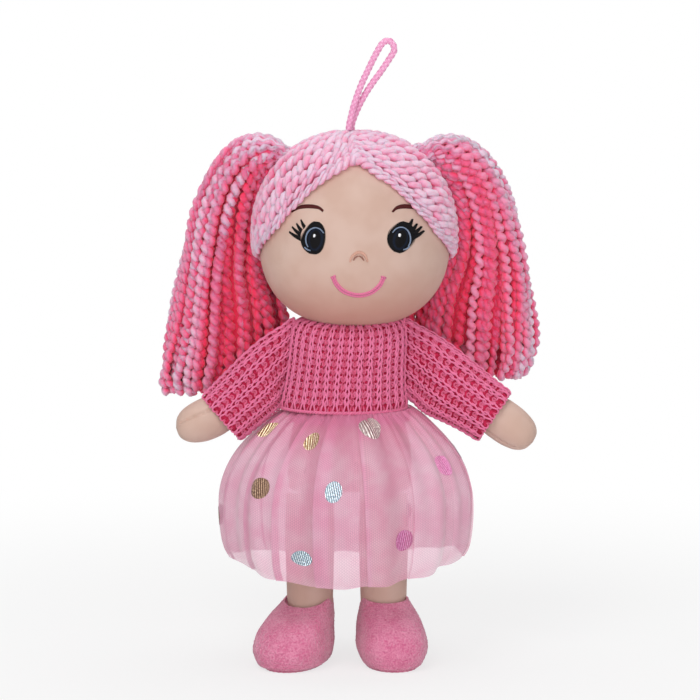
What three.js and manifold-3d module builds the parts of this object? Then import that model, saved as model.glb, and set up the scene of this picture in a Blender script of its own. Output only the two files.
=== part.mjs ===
// Rag doll: a stuffed cloth body in a rib-knitted jumper and a gathered net skirt, with plush shoes, yarn
// hair in two bunches and a cord loop on the crown. Millimetres, +Z up, the doll faces -Y. The origin is on
// the floor, midway between the doll's outermost points in X and in Y.
import * as THREE from 'three';
import { mergeVertices } from 'three/addons/utils/BufferGeometryUtils.js';
import Module from 'manifold-3d';

const wasm = await Module();
wasm.setup();

// General
const seamGap = 0.3;            // clearance between pieces that touch
const foldGap = 0.4;            // a sewn joint's fold line to the seam above it
const overrun = 25;             // how far a cutter runs past what it cuts

// Levels, added up from the floor
const hipHeight = 86;           // floor to the fold line that the legs swing on
const torsoHeight = 80;         // hip seam to the top of the stuffed body
const headSeat = 4.3;           // top of the body to the lowest point of the head

// Head
const headHalfWidth = 47.5;
const headHalfDepth = 38;
const headLower = 44;           // widest level down to the lowest point
const headUpper = 50;           // widest level up to the top
const headShift = 2.5;          // the head sits this far off the body's middle

// Neck
const neckBall = 13;            // radius of the stuffed end inside the head
const neckStem = 9;
const neckPivotRise = 6;        // lowest point of the head up to the ball's centre
const neckSink = 6;             // how far the stem reaches into the body

// Hair cap
const capThickness = 3.4;
const hairlineApexRise = 41;    // widest level of the head up to the parting
const hairlineTipDrop = 5.5;    // widest level of the head down to the cap's front corners
const hairlineTipHalf = 47;
const scallopDepth = 1.2;       // one scallop is one loop of yarn
const scallopsPerSide = 7;
const hairlineBow = 2.4;        // how far each side of the hairline bows up
const napeDrop = 24;            // widest level of the head down to the cap's edge at the nape
const capFront = 3;             // the cap's front corners lie this far before the head's middle plane

// Hair bunches and their ties
const tieHalfSpan = 32;         // head's middle out to where a bunch leaves the cap
const tieStand = 2.4;           // cap's surface there up to the middle of the bunch
const tieThickness = 1.1;       // radius of the elastic
const bunchLeftReach = 66.7;    // tie out to the bunch's outermost yarn
const bunchRightReach = 61.7;
const bunchFall = 126;          // tie down to the lowest tips
const bunchHalfDepth = 14;
const bunchLean = 30;           // how far the tips hang behind the head's middle plane

// Cord loop
const loopCord = 2.4;

// Stuffed body
const torsoHalfWidth = 29;
const torsoHalfDepth = 22;

// Jumper
const knitThickness = 2.2;
const ribDepth = 0.8;
const bodyRibs = 30;
const hemRise = 43.3;           // hip seam up to the jumper's hem
const jumperLength = 43.4;      // hem to the shoulder's crest
const jumperHalfWidth = 32.4;
const jumperHalfDepth = 26.5;
const necklineDip = 6.5;        // front and back of the neck opening below its sides
const armholeHalfDepth = 6.2;
const armholeHalfHeight = 21;

// Arms and sleeves
const armHingeHalfSpan = 30;    // body's middle out to each armhole seam
const armHingeRise = 69;        // hip seam up to the middle of the armhole seam
const armHalfWidth = 10.8;
const armHalfDepth = 9.2;
const armLeftLength = 69;       // seam to fingertips
const armRightLength = 75;
const armLeftDrop = 30;         // degrees below level
const armRightDrop = 31;        // degrees below level
const armForward = 7;           // degrees in front of the body's side plane
const sleeveHalfWidth = 14.6;
const sleeveHalfDepth = 12.5;
const sleeveLength = 49;
const sleeveRibs = 18;

// Legs
const hipHalfSpan = 18.5;
const hipShift = -1.4;          // both legs hang a little off the body's middle
const legRadius = 12.3;
const legSink = 9;              // how far the leg reaches down into the shoe

// Shoes
const shoeHalfWidth = 19.2;
const shoeHalfLength = 26;
const shoeHeight = 33.5;
const openingDip = 2.6;         // opening's middle down to its front, and up to its back
const footAhead = 7.5;          // ankle to the middle of the foot
const footLeftTurn = 30;        // degrees that the left foot is turned out
const footRightTurn = 20;       // degrees that the right foot is turned out
const soleThickness = 1.6;
const soleHalfWidth = 16.6;
const soleHalfLength = 25;

// Skirt
const waistRise = 43;           // hip seam up to where the net is gathered
const skirtDrop = 74;           // waist to the hem at the sides
const hemSag = 6;               // the hem hangs this much lower in front and behind
const waistHalfWidth = 31.6;
const waistHalfDepth = 26.4;
const skirtSpread = 31.5;       // how far the widest level stands out from the waist, sideways
const skirtSwell = 25;          // and to front and back
const skirtShift = -2.5;        // the widest level leans this far to the doll's right
const skirtWall = 0.8;
const skirtFolds = 12;
const foldDepth = 2.2;
const liningInset = 3;
const bandDrop = 1.2;           // waist down to the band's upper edge
const bandHeight = 4.4;
const bandThickness = 1.7;

// Looks
const skin = { color: 0xdcb3a0, roughness: 0.85, metalness: 0 };
const yarnPink = { color: 0xe6a9c6, roughness: 0.9, metalness: 0 };
const knitPink = { color: 0xd65a88, roughness: 0.85, metalness: 0 };
const netPink = { color: 0xe0a3bf, roughness: 0.7, metalness: 0 };
const plushPink = { color: 0xdb7299, roughness: 0.95, metalness: 0 };
const elasticPink = { color: 0xd98bb0, roughness: 0.8, metalness: 0 };
const cordPink = { color: 0xdf9cc2, roughness: 0.55, metalness: 0 };

// Levels worked out from the sizes above
const torsoTop = hipHeight + torsoHeight;
const headLevel = torsoTop + headSeat + headLower;
const neckLevel = torsoTop + headSeat + neckPivotRise;
const armLevel = hipHeight + armHingeRise;
const hemLevel = hipHeight + hemRise;
const waistLevel = hipHeight + waistRise;
const up = new THREE.Vector3(0, 0, 1);
const sideways = new THREE.Vector3(1, 0, 0);
const backward = new THREE.Vector3(0, 1, 0);

// Shape helpers

function facingOut(points, index) {
  let volume = 0;
  for (let i = 0; i < index.length; i += 3) {
    const [a, b, c] = [points[index[i]], points[index[i + 1]], points[index[i + 2]]];
    volume += new THREE.Vector3().crossVectors(b, c).dot(a);
  }
  if (volume < 0) {
    for (let i = 0; i < index.length; i += 3) {
      [index[i + 1], index[i + 2]] = [index[i + 2], index[i + 1]];
    }
  }
  const geometry = new THREE.BufferGeometry().setFromPoints(points);
  geometry.setIndex(index);
  return geometry;
}

function middleOf(ring) {
  return ring.reduce((sum, point) => sum.add(point), new THREE.Vector3()).divideScalar(ring.length);
}

// A closed body through rings of points, ending in a point at each end.
function loft(rings, first = middleOf(rings[0]), last = middleOf(rings.at(-1))) {
  const count = rings[0].length;
  const points = [...rings.flat(), first, last];
  const lastRing = (rings.length - 1) * count;
  const firstTip = rings.length * count;
  const index = [];
  for (let i = 0; i < count; i += 1) {
    const j = (i + 1) % count;
    for (let start = 0; start < lastRing; start += count) {
      index.push(start + i, start + j, start + j + count);
      index.push(start + i, start + j + count, start + i + count);
    }
    index.push(firstTip, j, i, firstTip + 1, lastRing + i, lastRing + j);
  }
  return facingOut(points, index);
}

// A wall open at both ends: the outer rings one way, the inner rings back, and the rims join them.
function wall(outer, inner) {
  const rings = [...outer, ...[...inner].reverse()];
  const count = rings[0].length;
  const index = [];
  rings.forEach((_, r) => {
    const here = r * count;
    const next = ((r + 1) % rings.length) * count;
    for (let i = 0; i < count; i += 1) {
      const j = (i + 1) % count;
      index.push(here + i, here + j, next + j, here + i, next + j, next + i);
    }
  });
  return facingOut(rings.flat(), index);
}

function solid(geometry) {
  const bare = new THREE.BufferGeometry();
  bare.setAttribute('position', geometry.getAttribute('position').clone());
  if (geometry.index) bare.setIndex(geometry.index.clone());
  const merged = mergeVertices(bare);
  return new wasm.Manifold(new wasm.Mesh({
    numProp: 3,
    vertProperties: merged.getAttribute('position').array,
    triVerts: new Uint32Array(merged.index.array),
  }));
}

function cut(geometry, ...tools) {
  const mesh = tools.reduce((left, tool) => left.subtract(solid(tool)), solid(geometry)).getMesh();
  const result = new THREE.BufferGeometry();
  result.setAttribute('position', new THREE.BufferAttribute(new Float32Array(mesh.vertProperties), 3));
  result.setIndex(new THREE.BufferAttribute(new Uint32Array(mesh.triVerts), 1));
  return result;
}

// A section: an ellipse, or with an exponent above 2 a squarer round.
function section(count, centre, across, along, halfAcross, halfAlong, exponent = 2) {
  const squared = (value) => Math.sign(value) * Math.abs(value) ** (2 / exponent);
  return Array.from({ length: count }, (_, i) => {
    const turn = (2 * Math.PI * i) / count;
    return centre.clone()
      .addScaledVector(across, halfAcross * squared(Math.cos(turn)))
      .addScaledVector(along, halfAlong * squared(Math.sin(turn)));
  });
}

function levelSection(count, x, y, z, halfWidth, halfDepth, exponent) {
  return section(count, new THREE.Vector3(x, y, z), sideways, backward, halfWidth, halfDepth, exponent);
}

// Every other point stands out from a ring's middle, as ribs do.
function ribbed(ring, depth) {
  const middle = middleOf(ring);
  return ring.map((point, i) => {
    const out = point.clone().sub(middle).normalize();
    return point.clone().addScaledVector(out, i % 2 === 0 ? depth / 2 : -depth / 2);
  });
}

function piece(name, geometry, look, place = new THREE.Vector3()) {
  const mesh = new THREE.Mesh(geometry, new THREE.MeshStandardMaterial(look));
  mesh.name = name;
  mesh.position.copy(place);
  return mesh;
}

// Head: a stuffed ball, its own origin at its widest level

const headFacets = 28;
const headLevels = 16;
const lowerRoundness = 2.35;
const upperRoundness = 2.2;

// The head's surface, grown outward by an offset.
function headForm(offset) {
  const rings = [];
  for (let level = 1; level < headLevels; level += 1) {
    const turn = (Math.PI * level) / headLevels;
    const rise = -Math.cos(turn);
    const roundness = rise < 0 ? lowerRoundness : upperRoundness;
    const half = (rise < 0 ? headLower : headUpper) + offset;
    const z = Math.sign(rise) * half * Math.abs(rise) ** (2 / roundness);
    const reach = Math.sin(turn) ** (2 / roundness);
    const halfWidth = (headHalfWidth + offset) * reach;
    rings.push(levelSection(headFacets, 0, 0, z, halfWidth, (headHalfDepth + offset) * reach));
  }
  const lowest = new THREE.Vector3(0, 0, -headLower - offset);
  return loft(rings, lowest, new THREE.Vector3(0, 0, headUpper + offset));
}

// Neck: a stem with a round end, its own origin at the ball's centre

const neckFacets = 18;
const neckLevels = 8;

function neckForm(offset) {
  const ball = neckBall + offset;
  const stem = neckStem + offset;
  const from = Math.asin(stem / ball);
  const bottom = -neckPivotRise - headSeat - neckSink - offset;
  const rings = [levelSection(neckFacets, 0, 0, bottom, stem, stem)];
  for (let level = 0; level < neckLevels; level += 1) {
    const turn = THREE.MathUtils.lerp(from, Math.PI, level / neckLevels);
    const radius = ball * Math.sin(turn);
    rings.push(levelSection(neckFacets, 0, 0, -ball * Math.cos(turn), radius, radius));
  }
  return loft(rings, undefined, new THREE.Vector3(0, 0, ball));
}

const headOverNeck = headLower - neckPivotRise;   // ball's centre up to the head's widest level

// Height of the head's surface, grown by an offset, above its widest level.
function headRise(halfSpan, offset) {
  const share = halfSpan / (headHalfWidth + offset);
  return (headUpper + offset) * (1 - share ** upperRoundness) ** (1 / upperRoundness);
}

function headGeometry() {
  const socket = new THREE.SphereGeometry(neckBall + seamGap, neckFacets, neckLevels + neckLevels);
  return cut(headForm(0), socket.rotateX(Math.PI / 2).translate(0, 0, -headOverNeck));
}

// Hair cap: a shell over the head with two scalloped hairlines in front

// What the cap leaves bare in front: below two hairlines that fall from the parting.
function faceOpening() {
  const stepsPerScallop = 4;
  const steps = scallopsPerSide * stepsPerScallop;
  const parting = new THREE.Vector2(0, hairlineApexRise);
  const hairline = (side) => {
    const fall = new THREE.Vector2(side * hairlineTipHalf, -hairlineTipDrop).sub(parting);
    const outward = new THREE.Vector2(-side * fall.y, side * fall.x).normalize();
    return Array.from({ length: steps + 1 }, (_, i) => {
      const share = i / steps;
      const bow = hairlineBow * Math.sin(Math.PI * share);
      const scallop = scallopDepth * (1 - Math.abs(Math.sin(Math.PI * share * scallopsPerSide)));
      return parting.clone().addScaledVector(fall, share).addScaledVector(outward, bow + scallop);
    });
  };
  const deep = -headLower - overrun;
  const wide = headHalfWidth + overrun;
  const outline = new THREE.Shape([
    ...hairline(-1).reverse(),
    ...hairline(1).slice(1),
    new THREE.Vector2(wide, -hairlineTipDrop),
    new THREE.Vector2(wide, deep),
    new THREE.Vector2(-wide, deep),
    new THREE.Vector2(-wide, -hairlineTipDrop),
  ]);
  const opening = new THREE.ExtrudeGeometry(outline, { depth: headHalfDepth + overrun, bevelEnabled: false });
  return opening.rotateX(Math.PI / 2).translate(0, -capFront, 0);
}

// What the cap leaves bare behind: below an edge that falls from the front corners to the nape.
function napeOpening() {
  const front = -headHalfDepth - overrun;
  const back = headHalfDepth + overrun;
  const slope = (napeDrop - hairlineTipDrop) / (headHalfDepth + capFront);
  const outline = new THREE.Shape([
    new THREE.Vector2(front, -hairlineTipDrop),
    new THREE.Vector2(-capFront, -hairlineTipDrop),
    new THREE.Vector2(back, -hairlineTipDrop - slope * (back + capFront)),
    new THREE.Vector2(back, -headLower - overrun),
    new THREE.Vector2(front, -headLower - overrun),
  ]);
  const depth = 2 * (headHalfWidth + overrun);
  const opening = new THREE.ExtrudeGeometry(outline, { depth, bevelEnabled: false });
  return opening.rotateX(Math.PI / 2).rotateZ(Math.PI / 2).translate(-depth / 2, 0, 0);
}

function capGeometry() {
  return cut(headForm(capThickness), headForm(seamGap), faceOpening(), napeOpening());
}

// Hair bunches: fluted hanks that leave the cap, fold over and spread to the tips

const bunchFacets = 36;
const bunchFlutes = 9;
const fluteShare = 0.035;
// From the cap to the tips. Shares of the reach and the fall from the tie to the outer edge and to the inner
// edge, then shares of the half depth and of the lean.
const bunchShares = [
  [-0.062, -0.022, 0.029, 0.054, 0.39, 0.06],
  [-0.013, -0.038, 0.078, 0.038, 0.39, 0.06],
  [0.044, -0.054, 0.134, 0.022, 0.40, 0.07],
  [0.138, -0.066, 0.165, 0.032, 0.57, 0.10],
  [0.284, -0.063, 0.185, 0.052, 0.75, 0.15],
  [0.454, -0.028, 0.195, 0.080, 0.89, 0.22],
  [0.608, 0.040, 0.200, 0.115, 0.96, 0.30],
  [0.721, 0.143, 0.200, 0.163, 1.00, 0.40],
  [0.786, 0.270, 0.195, 0.240, 1.00, 0.50],
  [0.835, 0.413, 0.185, 0.340, 1.00, 0.63],
  [0.891, 0.572, 0.175, 0.475, 0.96, 0.77],
  [0.948, 0.731, 0.162, 0.628, 0.93, 0.90],
  [0.989, 0.874, 0.130, 0.787, 0.89, 0.98],
  [1.000, 0.945, 0.122, 0.890, 0.82, 1.00],
  [0.924, 1.000, 0.227, 0.984, 0.57, 1.00],
];

const tieRise = headRise(tieHalfSpan, capThickness) + tieStand;   // widest level of the head up to the tie

function bunchGeometry(side, reach) {
  const place = (out, fall) => new THREE.Vector3(
    side * (tieHalfSpan + out * reach), 0, tieRise - fall * bunchFall,
  );
  const rings = bunchShares.map(([outerOut, outerFall, innerOut, innerFall, depth, lean]) => {
    const outer = place(outerOut, outerFall);
    const inner = place(innerOut, innerFall);
    const across = outer.clone().sub(inner).multiplyScalar(0.5);
    const centre = outer.clone().add(inner).multiplyScalar(0.5).addScaledVector(backward, lean * bunchLean);
    const ring = section(bunchFacets, centre, across, backward, 1, depth * bunchHalfDepth);
    return ring.map((point, i) => {
      const flute = fluteShare * Math.cos((2 * Math.PI * bunchFlutes * i) / bunchFacets);
      return point.lerp(centre, flute);
    });
  });
  return cut(loft(rings), headForm(capThickness + seamGap));
}

// The tie stands square to the bunch, midway between the second and third rows of its table.
function tiePiece(name, side, reach) {
  const [start, end] = [bunchShares[1], bunchShares[2]].map(([outerOut, outerFall, innerOut, innerFall]) => (
    new THREE.Vector2(
      side * (tieHalfSpan + ((outerOut + innerOut) / 2) * reach),
      tieRise - ((outerFall + innerFall) / 2) * bunchFall,
    )));
  const [outerOut, outerFall, innerOut, innerFall, depth, lean] = bunchShares[2];
  const halfWidth = Math.hypot((outerOut - innerOut) * reach, (outerFall - innerFall) * bunchFall) / 2;
  const radius = Math.max(halfWidth, depth * bunchHalfDepth) * (1 + fluteShare) + tieThickness + seamGap;
  const ring = new THREE.TorusGeometry(radius, tieThickness, 6, 22).rotateY(Math.PI / 2);
  const along = end.clone().sub(start);
  ring.rotateY(-Math.atan2(along.y, along.x));
  const middle = start.clone().add(end).multiplyScalar(0.5);
  return piece(name, ring, elasticPink, new THREE.Vector3(middle.x, lean * bunchLean, middle.y));
}

// Cord loop: the cord leaves the crown, turns over and goes back in beside itself

const loopRoute = [
  [-3.6, -0.7, 0], [-3.6, -0.9, 2.4], [-2.7, -1.0, 5.6], [-1.05, -1.0, 11.4], [0.95, -0.9, 17.3],
  [2.95, -0.8, 23.2], [5.95, -0.6, 29.2], [8.95, -0.3, 35.2], [11.5, -0.1, 40.5], [14, 0, 43.7],
  [17.1, 0, 44.6], [19.7, 0.1, 42.8], [20.6, 0.3, 39.4], [19.2, 0.5, 35.2], [14.7, 0.7, 29.2],
  [10.2, 0.9, 23.2], [6.2, 1.0, 17.3], [2.5, 1.0, 11.4], [0.1, 1.0, 5.6], [-0.7, 0.9, 2.4], [-0.7, 0.7, 0],
];
const loopSteps = 44;
const loopFacets = 8;

function loopGeometry() {
  const curve = new THREE.CatmullRomCurve3(loopRoute.map((point) => new THREE.Vector3(...point)));
  const round = Array.from({ length: loopFacets }, (_, i) => {
    const turn = (2 * Math.PI * i) / loopFacets;
    return new THREE.Vector2(Math.cos(turn), Math.sin(turn)).multiplyScalar(loopCord / 2);
  });
  return new THREE.ExtrudeGeometry(new THREE.Shape(round), { extrudePath: curve, steps: loopSteps });
}

// Stuffed body

const torsoFacets = 28;
const torsoRoundness = 2.3;
// Hip seam to neck: shares of the height, the half width and the half depth.
const torsoShares = [
  [0.00, 1.02, 0.03], [0.06, 1.05, 0.30], [0.14, 1.07, 0.64], [0.26, 1.06, 0.92], [0.40, 1.02, 1.00],
  [0.52, 0.97, 1.00], [0.66, 0.92, 0.95], [0.80, 0.91, 0.84], [0.90, 0.87, 0.62], [0.96, 0.74, 0.40],
  [1.00, 0.50, 0.22],
];

function torsoForm(offset) {
  return loft(torsoShares.map(([rise, width, depth]) => levelSection(
    torsoFacets, 0, 0, THREE.MathUtils.lerp(hipHeight + foldGap, torsoTop, rise),
    width * torsoHalfWidth + offset, depth * torsoHalfDepth + offset, torsoRoundness,
  )));
}

function torsoGeometry() {
  return cut(torsoForm(0), neckForm(seamGap).translate(headShift, 0, neckLevel));
}

// Jumper: a ribbed tube that closes over the shoulders to a neck opening, with an armhole on each side

// Hem to shoulder, then over to the neck: shares of the length, the half width, the half depth and the dip.
const jumperShares = [
  [0.00, 1.00, 1.00, 0.0], [0.26, 0.94, 0.93, 0.0], [0.52, 0.91, 0.87, 0.15], [0.77, 0.89, 0.78, 0.55],
  [0.94, 0.86, 0.67, 0.90], [1.00, 0.80, 0.58, 1.00], [0.91, 0.66, 0.48, 0.72],
];

const armholeStartShare = 0.88;   // of the body's half width, inside the jumper's wall

function jumperGeometry() {
  const rings = (inset, drop) => jumperShares.map(([rise, width, depth, dip]) => {
    const ring = levelSection(
      2 * bodyRibs, 0, 0, hemLevel + rise * jumperLength - drop * rise,
      width * jumperHalfWidth - inset, depth * jumperHalfDepth - inset,
    );
    ring.forEach((point) => {
      const front = Math.abs(point.y) / (depth * jumperHalfDepth - inset);
      point.z -= dip * necklineDip * front * front;
    });
    return ring;
  });
  const outer = rings(0, 0).map((ring) => ribbed(ring, ribDepth));
  const armhole = new THREE.BoxGeometry(2 * overrun, 2 * armholeHalfDepth, 2 * armholeHalfHeight);
  const armholes = [-1, 1].map((side) => (
    armhole.clone().translate(side * (armholeStartShare * torsoHalfWidth + overrun), 0, armLevel)));
  return cut(wall(outer, rings(knitThickness, knitThickness)), ...armholes);
}

// Arms and sleeves: both are pinched flat at the armhole seam, where they turn, and swell away from it

const armFacets = 20;
// Inside the armhole to the fingertips: shares of the length, the half width and the half depth, and how far
// the section has turned from upright to square across the arm.
const armShares = [
  [-0.045, 1.16, 0.065, 0], [0.020, 1.16, 0.065, 0], [0.085, 1.14, 0.14, 0], [0.150, 1.10, 0.42, 0.3],
  [0.240, 1.05, 0.82, 0.6], [0.400, 1.00, 1.00, 1], [0.650, 0.95, 0.94, 1], [0.740, 0.97, 0.96, 1],
  [0.840, 0.95, 0.98, 1], [0.930, 0.80, 0.84, 1], [0.983, 0.50, 0.52, 1],
];
const sleeveShares = [
  [0.12, 1.24, 0.25, 0], [0.20, 1.22, 0.47, 0.2], [0.34, 1.14, 0.80, 0.5], [0.52, 1.06, 0.97, 0.8],
  [0.76, 1.01, 1.00, 1], [0.94, 0.98, 1.00, 1], [1.00, 0.95, 0.96, 1],
];

function armFrame(side, drop) {
  const down = THREE.MathUtils.degToRad(drop);
  const ahead = THREE.MathUtils.degToRad(armForward);
  const level = new THREE.Vector3(side * Math.cos(ahead), -Math.sin(ahead), 0);
  return {
    direction: level.clone().multiplyScalar(Math.cos(down)).addScaledVector(up, -Math.sin(down)),
    square: level.clone().multiplyScalar(Math.sin(down)).addScaledVector(up, Math.cos(down)),
    depth: new THREE.Vector3(side * Math.sin(ahead), Math.cos(ahead), 0),
  };
}

function limbRings(frame, shares, count, length, halfWidth, halfDepth, inset = 0) {
  return shares.map(([along, width, depth, turned]) => section(
    count,
    frame.direction.clone().multiplyScalar(along * length),
    up.clone().lerp(frame.square, turned).normalize(),
    frame.depth,
    width * halfWidth - inset,
    depth * (halfDepth - inset),
  ));
}

function armGeometry(side, drop, length) {
  const frame = armFrame(side, drop);
  const rings = limbRings(frame, armShares, armFacets, length, armHalfWidth, armHalfDepth);
  return loft(rings, undefined, frame.direction.clone().multiplyScalar(length));
}

function sleeveGeometry(side, drop) {
  const frame = armFrame(side, drop);
  const tube = (inset) => (
    limbRings(frame, sleeveShares, 2 * sleeveRibs, sleeveLength, sleeveHalfWidth, sleeveHalfDepth, inset));
  return wall(tube(0).map((ring) => ribbed(ring, ribDepth)), tube(knitThickness));
}

// Legs: pinched flat at the hip seam; their own origin is on that seam

const legFacets = 20;
const legShares = [
  [0.00, 0.95, 0.035], [0.09, 0.98, 0.40], [0.20, 1.00, 0.76], [0.34, 1.02, 0.95], [0.50, 1.00, 1.00],
  [0.72, 0.95, 0.98], [0.90, 0.92, 0.94], [0.97, 0.86, 0.88], [1.00, 0.62, 0.64],
];
const legLength = hipHeight - shoeHeight + legSink - seamGap;

function legForm(offset) {
  return loft(legShares.map(([fall, width, depth]) => levelSection(
    legFacets, 0, 0, -seamGap - fall * legLength - offset * fall,
    width * legRadius + offset, depth * legRadius + offset,
  )));
}

// Shoes: plush slippers; their own origin is on the floor below the ankle

const shoeFacets = 26;
// Sole to opening: shares of the height, the half width, the half length, the lead of the foot and the slope.
const shoeShares = [
  [0.00, 0.80, 0.92, 1.00, 0], [0.10, 0.92, 0.98, 1.00, 0], [0.30, 1.00, 1.00, 1.00, 0.1],
  [0.55, 0.95, 0.93, 0.92, 0.3], [0.78, 0.83, 0.76, 0.62, 0.7], [0.93, 0.72, 0.60, 0.25, 1],
  [1.00, 0.66, 0.53, 0.04, 1],
];

const heelTaper = 0.16;   // share of the width that the heel lacks and the toe gains

// A foot's outline is egg-shaped, narrower at the heel.
function footTaper(point, middle, halfLength) {
  point.x *= 1 - (heelTaper * (point.y - middle)) / halfLength;
}

function shoeGeometry(turn) {
  const base = soleThickness + seamGap;
  const rings = shoeShares.map(([rise, width, length, lead, slope]) => {
    const z = base + rise * (shoeHeight - base);
    const ring = levelSection(
      shoeFacets, 0, -lead * footAhead, z, width * shoeHalfWidth, length * shoeHalfLength, 2.2,
    );
    ring.forEach((point) => {
      point.z += (slope * openingDip * (point.y + lead * footAhead)) / (length * shoeHalfLength);
      footTaper(point, -lead * footAhead, length * shoeHalfLength);
    });
    return ring;
  });
  const turned = loft(rings).rotateZ(THREE.MathUtils.degToRad(turn));
  return cut(turned, legForm(seamGap).translate(0, 0, hipHeight));
}

function soleGeometry(turn) {
  const outline = levelSection(shoeFacets, 0, -footAhead, 0, soleHalfWidth, soleHalfLength);
  outline.forEach((point) => footTaper(point, -footAhead, soleHalfLength));
  const sole = new THREE.ExtrudeGeometry(new THREE.Shape(outline), {
    depth: soleThickness, bevelEnabled: false,
  });
  return sole.rotateZ(THREE.MathUtils.degToRad(turn));
}

// Skirt: two layers of gathered net on a band

const skirtFacets = 60;
const liningFacets = 48;
// Waist to hem: shares of the drop, of the spread, and of the folds' depth.
const skirtShares = [
  [0.000, 0.00, 0.3], [0.030, 0.16, 0.6], [0.095, 0.40, 0.8], [0.240, 0.66, 0.9], [0.385, 0.87, 1.0],
  [0.540, 0.98, 1.0], [0.700, 1.00, 1.0], [0.850, 0.96, 1.1], [0.940, 0.89, 1.2], [1.000, 0.80, 1.3],
];

function netRings(count, shares, inset) {
  return shares.map(([fall, spread, fold]) => {
    const centre = skirtShift * spread;
    return Array.from({ length: count }, (_, i) => {
      const turn = (2 * Math.PI * i) / count;
      const wave = fold * foldDepth * Math.cos(skirtFolds * turn) - inset;
      return new THREE.Vector3(
        centre + (waistHalfWidth + spread * skirtSpread + wave) * Math.cos(turn),
        (waistHalfDepth + spread * skirtSwell + wave) * Math.sin(turn),
        waistLevel - fall * skirtDrop - hemSag * fall ** 3 * Math.sin(turn) ** 2,
      );
    });
  });
}

function netLayer(count, shares, inset) {
  return wall(netRings(count, shares, inset), netRings(count, shares, inset + skirtWall));
}

function bandGeometry() {
  const outer = [bandDrop, bandDrop + bandHeight].map((drop) => levelSection(
    torsoFacets, 0, 0, waistLevel - drop, torsoHalfWidth + bandThickness - seamGap,
    torsoHalfDepth + bandThickness + seamGap, torsoRoundness,
  ));
  return cut(loft(outer), torsoForm(seamGap));
}

// The doll

const doll = new THREE.Group();
const headPlace = new THREE.Vector3(headShift, 0, headLevel);
const hips = (side) => new THREE.Vector3(hipShift + side * hipHalfSpan, 0, hipHeight);
const ankle = (side) => hips(side).setZ(0);
const armhole = (side) => new THREE.Vector3(side * armHingeHalfSpan, 0, armLevel);
const crown = new THREE.Vector3(headShift, 0, headLevel + headUpper + capThickness + seamGap);

doll.add(piece('torso', torsoGeometry(), skin));
doll.add(piece('neck', neckForm(0), skin, new THREE.Vector3(headShift, 0, neckLevel)));
doll.add(piece('head', headGeometry(), skin, headPlace));
doll.add(piece('hair_cap', capGeometry(), yarnPink, headPlace));
doll.add(piece('hanging_loop', loopGeometry(), cordPink, crown));
doll.add(piece('jumper_body', jumperGeometry(), knitPink));
doll.add(piece('skirt_waistband', bandGeometry(), elasticPink));
doll.add(piece('skirt_net_outer', netLayer(skirtFacets, skirtShares, 0), netPink));
doll.add(piece('skirt_net_lining', netLayer(liningFacets, skirtShares.slice(1, -1), liningInset), netPink));

const pair = [
  {
    name: 'left', side: -1, reach: bunchLeftReach, drop: armLeftDrop, length: armLeftLength,
    turn: -footLeftTurn,
  },
  {
    name: 'right', side: 1, reach: bunchRightReach, drop: armRightDrop, length: armRightLength,
    turn: footRightTurn,
  },
];
pair.forEach(({ name, side, reach, drop, length, turn }) => {
  doll.add(piece(`hair_bunch_${name}`, bunchGeometry(side, reach), yarnPink, headPlace));
  const tie = tiePiece(`hair_tie_${name}`, side, reach);
  tie.position.add(headPlace);
  doll.add(tie);
  doll.add(piece(`arm_${name}`, armGeometry(side, drop, length), skin, armhole(side)));
  doll.add(piece(`sleeve_${name}`, sleeveGeometry(side, drop), knitPink, armhole(side)));
  doll.add(piece(`leg_${name}`, legForm(0), skin, hips(side)));
  doll.add(piece(`shoe_${name}`, shoeGeometry(turn), plushPink, ankle(side)));
  doll.add(piece(`shoe_sole_${name}`, soleGeometry(turn), plushPink, ankle(side)));
});

export default doll;
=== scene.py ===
import math

import bpy
import numpy as np
from mathutils import Matrix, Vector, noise


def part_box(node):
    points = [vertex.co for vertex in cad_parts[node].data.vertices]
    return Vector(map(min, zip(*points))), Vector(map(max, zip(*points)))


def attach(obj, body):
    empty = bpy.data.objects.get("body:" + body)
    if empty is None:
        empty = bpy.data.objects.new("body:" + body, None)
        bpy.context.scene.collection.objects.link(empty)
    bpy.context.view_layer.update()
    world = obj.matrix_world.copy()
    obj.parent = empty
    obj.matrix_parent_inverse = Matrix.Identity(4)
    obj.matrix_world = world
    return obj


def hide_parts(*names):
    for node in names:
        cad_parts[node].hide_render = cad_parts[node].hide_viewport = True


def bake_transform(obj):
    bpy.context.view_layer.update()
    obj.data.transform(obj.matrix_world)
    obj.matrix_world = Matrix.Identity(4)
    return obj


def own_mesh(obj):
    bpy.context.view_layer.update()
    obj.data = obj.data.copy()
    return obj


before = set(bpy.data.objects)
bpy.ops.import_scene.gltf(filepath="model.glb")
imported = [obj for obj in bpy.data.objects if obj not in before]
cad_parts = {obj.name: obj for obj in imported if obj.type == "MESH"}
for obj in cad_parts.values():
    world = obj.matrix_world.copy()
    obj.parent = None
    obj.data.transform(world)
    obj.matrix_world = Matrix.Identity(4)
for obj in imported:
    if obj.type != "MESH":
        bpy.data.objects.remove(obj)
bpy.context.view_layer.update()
print("frame loaded,", len(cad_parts), "nodes")

# Sizes are in millimetres and angles in degrees. A finished piece is in metres.
mm = 0.001
tau = 2 * math.pi
upward = np.array([0.0, 0.0, 1.0])
backward = np.array([0.0, 1.0, 0.0])
sideOf = {"left": -1, "right": 1}


def boxOf(node):
    low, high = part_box(node)
    return np.array(low) / mm, np.array(high) / mm


# Camera, where the doll was seen from

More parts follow.
